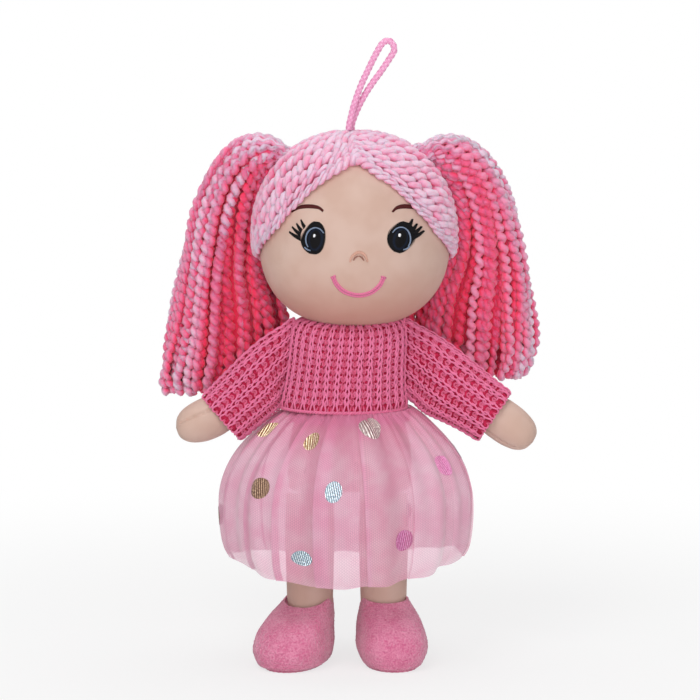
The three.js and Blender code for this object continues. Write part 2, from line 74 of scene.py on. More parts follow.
view = {"place": (0.25, -1390, 329), "down": 7, "lens": 144, "sensor": 36, "width": 700}
viewDown = math.radians(view["down"])
viewAhead = np.array([0, math.cos(viewDown), -math.sin(viewDown)])
viewUp = np.array([0, math.sin(viewDown), math.cos(viewDown)])
viewReach = view["width"] * view["lens"] / view["sensor"]
bpy.ops.object.select_all(action="DESELECT")
bpy.ops.object.camera_add(location=[size * mm for size in view["place"]],
                          rotation=(math.radians(90 - view["down"]), 0, 0))
camera = bpy.context.object
camera.data.lens = view["lens"]
camera.data.sensor_width = view["sensor"]
bpy.context.scene.camera = camera


def sightLines(pixels):
    # the directions in which the camera sees these pixels
    gap = (np.asarray(pixels, float) - view["width"] / 2) / viewReach
    return gap[..., :1] * [1, 0, 0] + viewAhead - gap[..., 1:] * viewUp


def seenAt(points):
    # the pixels at which the camera sees these points
    gap = points - np.array(view["place"])
    seen = np.stack([gap[..., 0], -gap @ viewUp], -1) / (gap @ viewAhead)[..., None]
    return view["width"] / 2 + viewReach * seen


# Shape helpers


def lengths(vectors):
    return np.linalg.norm(vectors, axis=-1, keepdims=True)


def unit(vectors):
    return vectors / np.maximum(lengths(vectors), 1e-9)


def squareTo(vectors, along):
    # unit vectors like these, but square to a line
    return unit(vectors - along * (vectors * along).sum(1, keepdims=True))


def lengthOf(line):
    return lengths(np.diff(line, axis=0)).sum()


def runAlong(line):
    # how far along the line each of its points is
    return np.concatenate([[0], np.cumsum(lengths(np.diff(line, axis=0))[:, 0])])


def evenly(line, count):
    # the same line with its points spaced evenly
    run = runAlong(line)
    want = np.linspace(0, run[-1], count)
    return np.stack([np.interp(want, run, line[:, k]) for k in range(line.shape[1])], 1)


def turnsOf(count):
    return np.arange(count) / count * tau


def throughRows(rows, at):
    # values between a table's rows, on a smooth curve through them; at runs from 0 to 1
    rows = np.asarray(rows, float)
    last = len(rows) - 1
    spot = np.clip(at, 0, 1) * last
    first = np.minimum(spot.astype(int), last - 1)
    t = (spot - first)[..., None]
    before, start = rows[np.maximum(first - 1, 0)], rows[first]
    end, after = rows[first + 1], rows[np.minimum(first + 2, last)]
    return 0.5 * (2 * start + (end - before) * t + (2 * before - 5 * start + 4 * end - after) * t**2
                  + (3 * start - before - 3 * end + after) * t**3)


def evenShares(table, reach):
    # shares of a table's length at which its lines are evenly long
    at = np.linspace(0, 1, 400)
    run = runAlong(reach(throughRows(table, at)))
    return lambda share: np.interp(share, run / run[-1], at)


def smoothStep(value, start, end):
    t = np.clip((value - start) / (end - start), 0, 1)
    return t * t * (3 - 2 * t)


def squared(value, power):
    # a sine or cosine whose circle is nearer to a square
    return np.sign(value) * np.abs(value) ** (2 / power)


def noiseAt(x, y, z=0.0):
    # smooth noise from -1 to 1 at the points that these numbers give
    return np.array([noise.noise(spot) for spot in zip(*np.broadcast_arrays(x, y, z))])


def rough(points, size, seed=0.0):
    # smooth noise at each point, with lumps of that size
    return noiseAt(points[:, 0] / size + seed, points[:, 1] / size, points[:, 2] / size)


def seamAt(turn, seam, radius, width):
    # 1 on a seam that runs along a limb at one turn, falling to 0 at both sides of it
    return np.exp(-(np.angle(np.exp(1j * (turn - seam))) * radius / width) ** 2)


def outFrom(surface, u, v, sign):
    # unit vectors square to a surface
    step = 2e-3
    across = surface(u + step, v) - surface(u - step, v)
    along = surface(u, np.minimum(v + step, 1)) - surface(u, np.maximum(v - step, 0))
    return unit(np.cross(across, along)) * sign


def sharesOver(around, along):
    # every share round with every share along, row by row
    u, v = np.meshgrid(around, along)
    return u.ravel(), v.ravel()


def patchFaces(wide, high, wrapped):
    # quads over a grid of points, high rows of wide points
    here = np.arange(high - 1)[:, None] * wide
    side = np.arange(wide if wrapped else wide - 1)
    beside = (side + 1) % wide
    return np.stack([here + side, here + beside, here + wide + beside, here + wide + side], -1).reshape(-1, 4)


def wallFaces(wide, high, sign=1):
    # quads over a ring of two layers, the inner points after the outer ones, closed along both edges
    total, top = wide * high, (high - 1) * wide
    side, beside = np.arange(wide), (np.arange(wide) + 1) % wide
    quads = patchFaces(wide, high, True)
    faces = [quads, quads[:, ::-1] + total, np.stack([side, side + total, beside + total, beside], -1),
             np.stack([top + side, top + beside, top + beside + total, top + side + total], -1)]
    return faces if sign > 0 else [part[:, ::-1] for part in faces]


class Skein:
    # gathers tubes and patches into one mesh

    def __init__(self):
        self.points, self.faces, self.strand, self.tint, self.looks = [], [], [], [], []
        self.count = 0

    def add(self, points, faces, strand=None, tint=0.5, look=0):
        self.points.append(points)
        self.faces += [part + self.count for part in faces]
        self.looks += [np.full(len(part), look) for part in faces]
        self.strand.append(np.zeros((len(points), 3)) if strand is None else strand)
        self.tint.append(np.full(len(points), tint) if np.isscalar(tint) else tint)
        self.count += len(points)

    def tube(self, line, out, radius, sides, tint=0.5, twist=0.0, closed=False, flat=1.0, paintedLight=0.0):
        # out says which way each ring's first point looks; twist is in turns for each millimetre; the last argument
        # paints the side that looks out paler and the side that looks in darker, as painted light and shade
        if closed:
            along = np.roll(line, -1, axis=0) - np.roll(line, 1, axis=0)
        else:
            along = np.gradient(line, axis=0)
        along = unit(along)
        first = squareTo(out, along)
        second = np.cross(along, first)
        turn = turnsOf(sides)
        radius = np.broadcast_to(radius, len(line))[:, None, None]
        rings = line[:, None] + radius * (flat * np.cos(turn)[:, None] * first[:, None]
                                          + np.sin(turn)[:, None] * second[:, None])
        run = runAlong(line)
        fibre = turn + tau * twist * run[:, None]
        strand = np.stack([np.cos(fibre), np.sin(fibre), np.broadcast_to(run[:, None], fibre.shape)], -1)
        count = len(line)
        here = np.arange(count if closed else count - 1)[:, None] * sides
        there = (here + sides) % (count * sides)
        side = np.arange(sides)
        beside = (side + 1) % sides
        quads = np.stack([here + side, here + beside, there + beside, there + side], -1).reshape(-1, 4)
        points, faces = rings.reshape(-1, 3), [quads]
        strand = strand.reshape(-1, 3)
        if not closed:
            tip = count * sides
            points = np.vstack([points, line[0], line[-1]])
            strand = np.vstack([strand, [[0, 0, 0]], [[0, 0, run[-1]]]])
            lastRing = tip - sides
            faces.append(np.stack([np.full(sides, tip), beside, side], -1))
            faces.append(np.stack([np.full(sides, tip + 1), lastRing + side, lastRing + beside], -1))
        tint = (np.broadcast_to(tint, count)[:, None] + paintedLight * np.cos(turn)).ravel()
        if not closed:
            tint = np.concatenate([tint, [tint[0], tint[-1]]])
        self.add(points, faces, strand, tint)

    def piece(self, name, *finishes):
        data = bpy.data.meshes.new(name)
        points = np.concatenate(self.points) * mm
        loops = np.concatenate([part.ravel() for part in self.faces])
        sizes = np.concatenate([np.full(len(part), part.shape[1]) for part in self.faces])
        data.vertices.add(len(points))
        data.vertices.foreach_set("co", points.astype(np.float32).ravel())
        data.loops.add(len(loops))
        data.loops.foreach_set("vertex_index", loops.astype(np.int32))
        data.polygons.add(len(sizes))
        starts = np.concatenate([[0], np.cumsum(sizes)[:-1]])
        data.polygons.foreach_set("loop_start", starts.astype(np.int32))
        data.polygons.foreach_set("use_smooth", np.ones(len(sizes), bool))
        data.polygons.foreach_set("material_index", np.concatenate(self.looks).astype(np.int32))
        data.update(calc_edges=True)
        strand = data.attributes.new("strand", "FLOAT_VECTOR", "POINT")
        strand.data.foreach_set("vector", np.concatenate(self.strand).astype(np.float32).ravel())
        tint = data.attributes.new("tint", "FLOAT", "POINT")
        tint.data.foreach_set("value", np.concatenate(self.tint).astype(np.float32))
        made = bpy.data.objects.new(name, data)
        bpy.context.scene.collection.objects.link(made)
        for look in finishes:
            data.materials.append(look)
        return made


def place(piece, body, slot, *nodes, bend=None):
    # puts a finished piece on its body, in the place of the nodes that it stands for; a piece given a bend is not put
    # on a body but left where it stands
    if bend:
        [tuple(spot * mm) for spot in bend[1:]]
        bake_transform(piece)
    else:
        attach(piece, body)
    if nodes:
        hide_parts(*nodes)
    return piece


def stuffed(name, form, segments, rings, body, slot, node, cloth):
    # a ball of cloth and filling pushed into shape, in the place of its node: form gives its points for shares
    # from end to end and turns round
    bpy.ops.object.select_all(action="DESELECT")
    bpy.ops.mesh.primitive_uv_sphere_add(segments=segments, ring_count=rings, radius=1)
    piece = bpy.context.object
    piece.name = piece.data.name = name
    ball = np.empty(len(piece.data.vertices) * 3)
    piece.data.vertices.foreach_get("co", ball)
    x, y, z = ball.reshape(-1, 3).T
    points = form(np.arccos(np.clip(-z, -1, 1)) / math.pi, np.arctan2(y, x))
    piece.data.vertices.foreach_set("co", points.ravel())
    piece.data.update()
    bpy.ops.object.mode_set(mode="EDIT")
    bpy.ops.mesh.select_all(action="SELECT")
    bpy.ops.mesh.normals_make_consistent(inside=False)
    bpy.ops.object.mode_set(mode="OBJECT")
    piece.data.shade_smooth()
    piece.data.transform(Matrix.Scale(mm, 4))
    piece.data.materials.append(cloth)
    place(piece, body, slot, node)


# Finishes


def colour(red, green, blue):
    # a colour as a picture writes it, from 0 to 255
    parts = [part / 255 for part in (red, green, blue)]
    return (*[((part + 0.055) / 1.055) ** 2.4 if part > 0.04 else part / 12.92 for part in parts], 1)


class Wire:
    # a socket of a material; sums on wires add their Math nodes

    def __init__(self, tree, socket=None):
        self.tree = tree
        self.socket = socket

    def node(self, kind, settings, inputs, output=0):
        made = self.tree.nodes.new("ShaderNode" + kind)
        for name, value in settings.items():
            if name == "stops":
                ramp = made.color_ramp
                while len(ramp.elements) < len(value):
                    ramp.elements.new(0.5)
                for stop, (position, shade) in zip(ramp.elements, value):
                    stop.position = position
                    stop.color = shade
            else:
                setattr(made, name, value)
        for name, value in inputs.items():
            if isinstance(value, Wire):
                self.tree.links.new(value.socket, made.inputs[name])
            else:
                made.inputs[name].default_value = value
        return Wire(self.tree, made.outputs[output])

    def maths(self, operation, *values):
        return self.node("Math", {"operation": operation}, dict(enumerate(values)))

    def __add__(self, other):
        return self.maths("ADD", self, other)

    def __sub__(self, other):
        return self.maths("SUBTRACT", self, other)

    def __rsub__(self, other):
        return self.maths("SUBTRACT", other, self)

    def __mul__(self, other):
        return self.maths("MULTIPLY", self, other)

    __radd__ = __add__
    __rmul__ = __mul__

    def most(self, other):
        return self.maths("MAXIMUM", self, other)

    def wave(self):
        return self.maths("SINE", self)

    def between(self, low, high):
        # 0 below low, 1 above high
        return self.node("MapRange", {"interpolation_type": "SMOOTHSTEP"},
                         {"Value": self, "From Min": low, "From Max": high})

    def mixed(self, first, second):
        # first where this wire is 0, second where it is 1
        return self.node("Mix", {"data_type": "RGBA"}, {0: self, 6: first, 7: second}, 2)

    def where(self):
        return self.node("TexCoord", {}, {}, 3)

    def named(self, name, output=1):
        return self.node("Attribute", {"attribute_name": name}, {}, output)

    def parts(self):
        return [self.node("SeparateXYZ", {}, {0: self}, part) for part in range(3)]

    def scaled(self, *sizes):
        return self.node("VectorMath", {"operation": "MULTIPLY"}, {0: self, 1: sizes})

    def grain(self, size, detail=2.0):
        # noise with lumps of that size in this wire's units
        return self.node("TexNoise", {}, {"Vector": self, "Scale": 1 / size, "Detail": detail})

    def bump(self, depth, strength=1.0):
        # depth in millimetres
        return self.node("Bump", {}, {"Height": self, "Distance": depth * mm, "Strength": strength})


def finish(name, build, **shader):
    # a material whose changing inputs come from build and whose even ones are set here
    made = bpy.data.materials.new(name)
    made.use_nodes = True
    tree = made.node_tree
    surface = tree.nodes["Principled BSDF"]
    for socket, value in shader.items():
        surface.inputs[socket.replace("_", " ")].default_value = value
    for socket, wire in build(Wire(tree)).items():
        tree.links.new(wire.socket, surface.inputs[socket])
    return made


# the cheeks' colour here is also used as painted shade on the chin, darker towards its bottom
skinLook = {"light": colour(217, 186, 172), "deep": colour(209, 174, 158), "blushAndShade": colour(196, 130, 112),
            "twill": 0.75, "patch": 16, "cheeks": ((-21, -30, 196), (27, -30, 196)), "cheekReach": 15,
            "chin": (205, 172)}


def skinNodes(wire, cheeks=()):
    where = wire.where()
    x, y, z = where.parts()
    pitch = tau / (skinLook["twill"] * mm)
    weave = ((x + y + z) * pitch).wave() * ((x + y - z) * pitch).wave()
    patches = where.grain(skinLook["patch"] * mm)
    skin = patches.between(0.3, 0.7).mixed(skinLook["light"], skinLook["deep"])
    for cheek in cheeks:
        gap = wire.node("VectorMath", {"operation": "DISTANCE"},
                        {0: where, 1: [part * mm for part in cheek]}, 1)
        near = 1 - gap.between(0, skinLook["cheekReach"] * mm)
        skin = (near * 0.10).mixed(skin, skinLook["blushAndShade"])
    # the chin is painted darker towards its bottom, as painted shade, in the same colour as the cheeks
    if cheeks:
        high, low = skinLook["chin"]
        skin = ((1 - z.between(low * mm, high * mm)) * 0.7).mixed(skin, skinLook["blushAndShade"])
    return {"Base Color": skin, "Normal": (weave * 0.5 + patches * 0.4).bump(0.10)}


skinCloth = finish("skin cotton", skinNodes, Roughness=0.82, Sheen_Weight=0.15)
faceCloth = finish("skin cotton of the face", lambda wire: skinNodes(wire, skinLook["cheeks"]),
                   Roughness=0.82, Sheen_Weight=0.15)

# stops from crimson, painted shade, through the yarn's pink to pale lilac, painted light
hairLook = {"stops": ((0.0, colour(250, 46, 92)), (0.33, colour(246, 92, 136)), (0.66, colour(238, 150, 184)),
                      (1.0, colour(234, 200, 220))), "fibre": 0.16}


def yarnShade(wire, fibre, fibreShare, lumpShare):
    # the shade of a yarn, from deep at 0 to light at 1, with its fibres and its lumps
    strand = wire.named("strand")
    fibres = strand.scaled(1, 1, 0.12).grain(fibre, 3.0)
    lumps = strand.scaled(1, 1, 0.5).grain(1.3)
    shade = wire.named("tint", 2) + (fibres - 0.5) * fibreShare + (lumps - 0.5) * lumpShare
    return shade, fibres, lumps


def hairNodes(wire):
    # from crimson deep in the hair, which is painted shade, through the yarn's pink to pale lilac on its outside,
    # which is painted light
    shade, fibres, lumps = yarnShade(wire, hairLook["fibre"], 0.35, 0.6)
    ramp = wire.node("ValToRGB", {"stops": hairLook["stops"]}, {0: shade})
    return {"Base Color": ramp, "Normal": (fibres * 0.6 + lumps).bump(0.3)}


hairYarn = finish("hair yarn", hairNodes, Roughness=0.9, Sheen_Weight=0.3, Subsurface_Weight=0.5,
                  Subsurface_Radius=(1.0, 0.45, 0.5), Subsurface_Scale=2 * mm)


def yarnFinish(name, light, deep, fibre, depth, **shader):
    def nodes(wire):
        shade, fibres, _ = yarnShade(wire, fibre, 0.5, 0.5)
        return {"Base Color": shade.between(0, 1).mixed(deep, light), "Normal": fibres.bump(depth)}
    return finish(name, nodes, **shader)


def threadFinish(name, shade, low=0.75):
    dark = tuple(part * low for part in shade[:3]) + (1,)
    return yarnFinish(name, shade, dark, 0.4, 0.05, Roughness=0.6, Specular_IOR_Level=0.15)


def feltFinish(name, light, deep, size, depth, **shader):
    def nodes(wire):
        fine = wire.where().grain(size * mm, 3.0)
        broad = wire.where().grain(size * 9 * mm)
        return {"Base Color": (fine * 0.7 + broad * 0.3).between(0.3, 0.7).mixed(deep, light),
                "Normal": fine.bump(depth)}
    return finish(name, nodes, **shader)


knitLook = {"light": colour(246, 126, 172), "deep": colour(210, 40, 88), "dark": colour(150, 8, 46)}
knitYarn = yarnFinish("knitting yarn", knitLook["light"], knitLook["deep"], 0.22, 0.2, Roughness=0.75,
                      Sheen_Weight=0.25)
satin = yarnFinish("satin cord", colour(246, 186, 218), colour(224, 130, 178), 0.3, 0.1, Roughness=0.45,
                   Sheen_Weight=0.2)
# a dark sheet of painted shade, seen between the ribs
knitShadeSheet = feltFinish("knit seen between its ribs", knitLook["deep"], knitLook["dark"], 1.1, 0.5,
                         Roughness=0.95)
hairBacking = feltFinish("hair backing", colour(232, 150, 184), colour(212, 104, 148), 1.4, 0.5, Roughness=0.95)
plush = feltFinish("short plush", colour(244, 160, 190), colour(216, 96, 142), 0.9, 0.9, Roughness=0.95,
                   Sheen_Weight=0.5)
elastic = feltFinish("covered elastic", colour(224, 150, 184), colour(196, 110, 150), 0.5, 0.3, Roughness=0.8)


netLook = {"light": colour(238, 186, 208), "deep": colour(234, 160, 190), "waist": colour(228, 116, 160),
           "pitch": 0.95, "outer": (0.57, 0.71), "lining": (0.08, 0.18)}


def netNodes(wire, layer):
    hole, thread = netLook[layer]
    cloth = wire.named("strand")
    x, y, _ = cloth.parts()
    pitch = tau / netLook["pitch"]
    third = math.sqrt(3) / 2
    cells = ((x * pitch).wave() + ((x * -0.5 + y * third) * pitch).wave()
             + ((x * -0.5 - y * third) * pitch).wave())
    threads = 1 - cells.between(-0.9, 0.6)
    alpha = threads * (thread - hole) + hole
    hem = wire.named("tint", 2)
    shade = cloth.grain(14).between(0.3, 0.7).mixed(netLook["light"], netLook["deep"])
    gathered = 1 - y.between(2, 34)
    shade = (gathered * 0.75).mixed(shade, netLook["waist"])
    return {"Base Color": shade, "Alpha": alpha.most(hem)}


nets = {layer: finish(f"pink net, {layer}", lambda wire, layer=layer: netNodes(wire, layer), Roughness=0.55,
                      Sheen_Weight=0.2)
        for layer in ("outer", "lining")}


def foilFinish(name, light, deep, roughness):
    def nodes(wire):
        x, y, _ = wire.named("strand").parts()
        ridges = ((x + y * 0.25) * (tau / 1.1)).wave()
        crinklesAndPaintedReflections = wire.named("strand").grain(0.9, 3.0)
        # the colour swings between the foil's light and dark over the crinkles, and a little along the ridges:
        # painted reflections
        return {"Base Color": (crinklesAndPaintedReflections * 0.8 + ridges * 0.12).between(0.3, 0.6).mixed(colour(*deep), colour(*light)),
                "Normal": (ridges * 0.5 + crinklesAndPaintedReflections * 0.6).bump(0.3)}
    return finish(f"{name} foil", nodes, Metallic=1.0, Roughness=roughness)


# each foil's light and dark colours, the dark standing for painted reflections, and its roughness
foils = {name: foilFinish(name, *look) for name, look in {
    "gold": ((240, 226, 196), (150, 118, 84), 0.3), "bronze": ((176, 148, 124), (98, 72, 60), 0.34),
    "silver": ((234, 244, 248), (140, 164, 178), 0.26), "grey": ((218, 210, 204), (160, 140, 140), 0.36),
    "rose": ((238, 180, 218), (204, 112, 164), 0.34)}.items()}
print("finishes made")


# Cord loop on the crown

loopCord = {
    "radius": 1.75, "flat": 0.62, "relief": 0.16, "sides": 18, "step": 0.4, "lay": 2.6, "seat": 0.3,
    "route": [
        (-2.7, -1.2, 0), (-2.7, -1.2, 2.4), (-2.0, -1.2, 5.6), (-0.6, -1.2, 11.4), (1.3, -1.1, 17.3),
        (3.6, -0.9, 23.2), (6.4, -0.6, 29.2), (9.3, -0.3, 35.2), (12.1, -0.1, 40.4), (14.2, 0, 43.2),
        (16.8, 0, 44.1), (18.9, 0.1, 42.4), (19.5, 0.3, 39.2), (17.2, 0.5, 35.2), (13.2, 0.7, 29.2),
        (8.8, 0.9, 23.2), (5.0, 1.1, 17.3), (1.9, 1.2, 11.4), (-0.5, 1.2, 5.6), (-1.4, 1.2, 2.4),
        (-1.4, 1.2, 0)],
}


def makeLoop():
    capLow, capHigh = boxOf("hair_cap")
    crown = np.array([(capLow[0] + capHigh[0]) / 2, 0, capHigh[2] + loopCord["seat"]])
    line = crown + throughRows(loopCord["route"], np.linspace(0, 1, 400))
    length = lengthOf(line)
    line = evenly(line, int(length / loopCord["step"]))
    sides = loopCord["sides"]
    turn = turnsOf(sides)
    lay = tau * np.linspace(0, length, len(line))[:, None] / loopCord["lay"]
    braid = np.abs(np.sin(turn * 2 + lay / 2) * np.sin(turn * 2 - lay / 2))
    cord = Skein()
    cord.tube(line, np.broadcast_to(-backward, line.shape), loopCord["radius"], sides, flat=loopCord["flat"])
    rings = cord.points[0][:-2].reshape(len(line), sides, 3)
    rings += (rings - line[:, None]) * (braid - 1)[..., None] * loopCord["relief"]
    # the raised strands of the braid are painted paler and its grooves darker, as painted light and shade
    cord.tint[0] = np.concatenate([0.2 + 0.7 * braid.ravel(), [0.5, 0.5]])
    piece = place(cord.piece("cord_loop", satin), "head", "satin_cord", "hanging_loop")
    line[0] * mm
    line * mm
    print("cord loop,", round(length), "mm")


makeLoop()


# Head

headLow, headHigh = boxOf("head")
head = {"upper": 50, "lower": 44, "upperRound": 2.2, "lowerRound": 2.35, "seamAt": 2.5, "seamDepth": 0.7,
        "seamWidth": 1.1, "unevenness": 0.5, "lumps": 22}
headMiddle = np.array([(headLow[0] + headHigh[0]) / 2, 0, headHigh[2] - head["upper"]])
headHalf = (headHigh - headLow) / 2


def headShell(points, grown=0.0):
    # above 1 outside the head, below 1 inside; points are from its middle
    x, y, z = points[..., 0], points[..., 1], points[..., 2]
    power = np.where(z < 0, head["lowerRound"], head["upperRound"])
    high = np.where(z < 0, head["lower"], head["upper"]) + grown
    around = (x / (headHalf[0] + grown)) ** 2 + (y / (headHalf[1] + grown)) ** 2
    return around ** (power / 2) + np.abs(z / high) ** power, power


def onHead(points, grown=0.0):
    # these points moved straight out from the middle, onto the head
    level, power = headShell(points, grown)
    return points * (level ** (-1 / power))[..., None]


def headOut(points):
    step = 0.01
    slope = [headShell(points + step * axis)[0] - headShell(points - step * axis)[0] for axis in np.eye(3)]
    return unit(np.stack(slope, -1))


def toHead(start, way, reach, grown=0.0):
    # where lines from points inside the head, or lines towards it, meet it
    near, far = np.zeros(len(start)), np.full(len(start), float(reach))
    for _ in range(40):
        middle = (near + far) / 2
        inside = headShell(start + way * middle[:, None], grown)[0] < 1
        near, far = np.where(inside, middle, near), np.where(inside, far, middle)
    return start + way * near[:, None]


def headForm(share, turn):
    flat = np.sin(share * math.pi)
    ball = np.stack([np.cos(turn) * flat, np.sin(turn) * flat, -np.cos(share * math.pi)], -1)
    points = onHead(ball * headHalf.min() / 2)
    seam = np.exp(-((points[:, 1] - head["seamAt"]) / head["seamWidth"]) ** 2) * head["seamDepth"]
    pucker = 1 + 0.35 * np.sin(points[:, 2] * 1.9) * np.sin(points[:, 2] * 0.7)
    lumps = rough(points, head["lumps"]) * head["unevenness"] * smoothStep(np.abs(points[:, 1]), 0, 25)
    return headMiddle + points + headOut(points) * (lumps - seam * pucker)[:, None]


stuffed("head_ball", headForm, 256, 160, "head", "skin_cloth", "head", faceCloth)
print("head made")


# Face, stitched where the camera sees it

face = {
    "thread": 0.24, "pitch": 0.78, "lift": 0.45,
    "eyes": {
        "left": {"middle": (314.9, 237.8), "half": (14.4, 16.6), "tilt": -5, "iris": (315.8, 239.4),
                 "glint": (315.0, 235.6), "under": [(305.2, 247.4), (310.6, 250.4)],
                 "lashes": [((300.5, 238.5), (289.8, 232.2)), ((300.6, 234.6), (292.6, 227.2)),
                            ((301.8, 231.0), (296.9, 223.8)), ((304.8, 227.2), (301.2, 220.0))]},
        "right": {"middle": (401.4, 237.3), "half": (14.2, 16.2), "tilt": 5, "iris": (400.4, 238.9),
                  "glint": (399.0, 235.2), "under": [(409.0, 246.6), (403.2, 249.6)],
                  "lashes": [((412.0, 238.0), (423.8, 231.0)), ((412.6, 234.0), (421.4, 226.8)),
                             ((411.4, 230.2), (416.9, 224.0)), ((408.4, 226.4), (412.3, 219.4))]},
    },
    "irisHalf": (9.6, 11.6), "pupil": (0.76, 0.80), "glintHalf": (1.6, 1.8), "lashWidths": [4.6, 3.4, 1.6],
    "shine": (35, 218), "shineWidths": [0.3, 0.6, 1.0, 1.1, 0.8, 0.4], "underWidths": [0.4, 1.0, 0.4],
    "brows": {
        "left": [(292.2, 211.8), (299.6, 207.6), (308.9, 206.4), (318.3, 207.6), (323.0, 211.0)],
        "right": [(392.6, 211.8), (396.4, 208.2), (402.7, 206.4), (410.7, 206.8), (417.5, 208.6)],
    },
    "browWidths": [1.6, 4.0, 4.0, 2.2],
    "nose": [(350.2, 261.5), (352.2, 256.4), (358.5, 252.4), (364.6, 255.0), (367.6, 261.5)],
    "noseWidths": [1.4, 2.4, 2.4, 1.4],
    "nostrils": [(353.6, 260.0), (355.6, 257.2), (358.8, 256.2), (361.8, 257.4), (363.6, 260.0)],
    "nostrilWidths": [0.7, 1.3, 0.5, 1.3, 0.7],
    "mouth": [(333.0, 276.6), (336.9, 284.8), (344.9, 291.8), (357.6, 295.3), (370.2, 292.8), (379.4, 285.6),
              (383.6, 277.2)],
    "mouthWidth": 2.0, "mouthEnds": [((331.2, 277.4), (335.6, 276.2)), ((381.2, 276.6), (385.8, 277.8))],
    # rows of the mouth: their place across it, then shares of the width and the lift, and the tint
    "mouthRows": [(-1.15, 1, 1, 0.75), (0, 0.8, 0.6, 0.1), (1.15, 1, 1, 0.65)],
}

threads = {kind: threadFinish(f"{name} thread", colour(*shade), *low) for kind, name, shade, *low in (
    ("black", "black", (10, 8, 11)), ("navy", "navy", (17, 25, 42)), ("pale", "pale blue", (140, 156, 182)),
    ("white", "white", (252, 252, 254)), ("brown", "brown", (84, 32, 32)), ("rose", "rose", (240, 134, 174), 0.55),
    ("skin", "skin", (224, 176, 158)), ("shadow", "dark skin", (150, 88, 74)))}


def onFace(pixels, lift):
    # where the camera sees these pixels on the head, lifted off it
    lines = sightLines(pixels).reshape(-1, 3)
    eye = np.array(view["place"]) - headMiddle
    far = -eye[1] / lines[:, 1:2]
    spots = toHead(eye + lines * far, -unit(lines), 2 * headHalf[1])
    spots = spots.reshape(*np.shape(pixels)[:-1], 3)
    out = headOut(spots)
    return headMiddle + spots + out * lift[..., None], out


def stitch(skein, pairs, lift, tint=0.7):
    # a thread from each first pixel to its second, which comes out of the cloth and goes back in
    pairs = np.asarray(pairs, float)
    share = np.linspace(0, 1, 7)
    pixels = pairs[:, :1] * (1 - share)[:, None] + pairs[:, 1:] * share[:, None]
    rise = lift * (1 - np.abs(2 * share - 1) ** 3) - 0.12
    points, out = onFace(pixels, np.broadcast_to(rise, pixels.shape[:2]))
    for number, (line, away) in enumerate(zip(points, out)):
        skein.tube(line, away, face["thread"], 6, tint + 0.25 * math.sin(number * 2.4), twist=0.8)


def embroider(name, kind, *layers):
    # one piece of stitches; each layer gives its pairs of pixels, its lift and its tint
    skein = Skein()
    for layer in layers:
        stitch(skein, *layer)
    place(skein.piece(name, threads[kind]), "head", "skin_cloth")


def acrossLine(line, widths, pitch, slant=0.25):
    # stitches across a line of pixels, a little slanted
    path = throughRows(line, np.linspace(0, 1, 60))
    length = lengthOf(path)
    path = evenly(path, max(4, int(length / pitch)))
    along = unit(np.gradient(path, axis=0))
    across = np.stack([-along[:, 1], along[:, 0]], -1)
    width = throughRows(np.reshape(widths, (-1, 1)), np.linspace(0, 1, len(path))) / 2
    return np.stack([path - across * width - along * slant * width,
                     path + across * width + along * slant * width], 1)


def overOval(middle, half, tilt, pitch, lean=12):
    # stitches from edge to edge of an oval of pixels
    lean, tilt = math.radians(lean), math.radians(tilt)
    rows = np.linspace(-1, 1, int(2 * half[1] / pitch) + 2)[1:-1]
    reach = np.sqrt(1 - rows**2)
    ends = np.stack([np.stack([-reach, rows], -1), np.stack([reach, rows], -1)], 1) * half
    turn = tilt + lean
    square = np.array([[math.cos(turn), -math.sin(turn)], [math.sin(turn), math.cos(turn)]])
    return np.array(middle) + ends @ square.T


def arc(middle, half, start, end, count=9):
    # pixels along an oval; angles from its right-hand end, turning up
    turn = np.radians(np.linspace(start, end, count))
    return np.stack([middle[0] + half[0] * np.cos(turn), middle[1] - half[1] * np.sin(turn)], -1)


def makeEye(name, eye):
    iris, irisHalf, tilt, pitch = eye["iris"], np.array(face["irisHalf"]), eye["tilt"], face["pitch"]
    black = list(overOval(eye["middle"], eye["half"], tilt, pitch))
    for root, tip in np.array(eye["lashes"]):
        black += list(acrossLine([root, root * 0.45 + tip * 0.55 + (0, 0.6), tip], face["lashWidths"], pitch, 0.5))
    first, last = face["shine"]
    turned = (first, last) if name == "left" else (180 - first, 180 - last)
    pale = list(acrossLine(arc(iris, irisHalf, *turned), face["shineWidths"], pitch))
    start, end = np.array(eye["under"])
    pale += list(acrossLine([start, (start + end) / 2 + (sideOf[name] * 0.3, 0.5), end], face["underWidths"], pitch))
    for shown, kind, pairs, rise in (
            ("oval", "black", black, 0), ("iris", "navy", overOval(iris, irisHalf, tilt, pitch), 0.28),
            ("pupil", "black", overOval(iris, irisHalf * face["pupil"], tilt, pitch), 0.50),
            ("shine", "pale", pale, 0.42),
            ("glint", "white", overOval(eye["glint"], face["glintHalf"], 0, pitch * 0.8), 0.75)):
        embroider(f"eye_{name}_{shown}", kind, (pairs, face["lift"] + rise))


def makeLines():
    pitch, lift, mouth = face["pitch"], face["lift"], np.array(face["mouth"])
    for name, line in face["brows"].items():
        embroider(f"brow_{name}", "brown", (acrossLine(line, face["browWidths"], pitch), lift))
    embroider("nose_stitches", "skin", (acrossLine(face["nose"], face["noseWidths"], pitch), lift))
    embroider("nose_inner_stitches", "shadow",
              (acrossLine(face["nostrils"], face["nostrilWidths"], pitch * 1.6), lift))
    outward = unit(mouth - mouth.mean(0) + (0, 30))
    rows = [(acrossLine(mouth + outward * gap, [face["mouthWidth"] * wide] * 3, pitch * 1.15, 0.7), lift * high, tint)
            for gap, wide, high, tint in face["mouthRows"]]
    ends = [(acrossLine(end, [1.4, 1.4], pitch), lift, 0.5) for end in face["mouthEnds"]]
    embroider("mouth_stitches", "rose", *rows, *ends)


for name, eye in face["eyes"].items():
    makeEye(name, eye)
makeLines()
print("face stitched")


# Hair cap: rows of two-ply yarn sewn over the head, from the hairline back to the nape

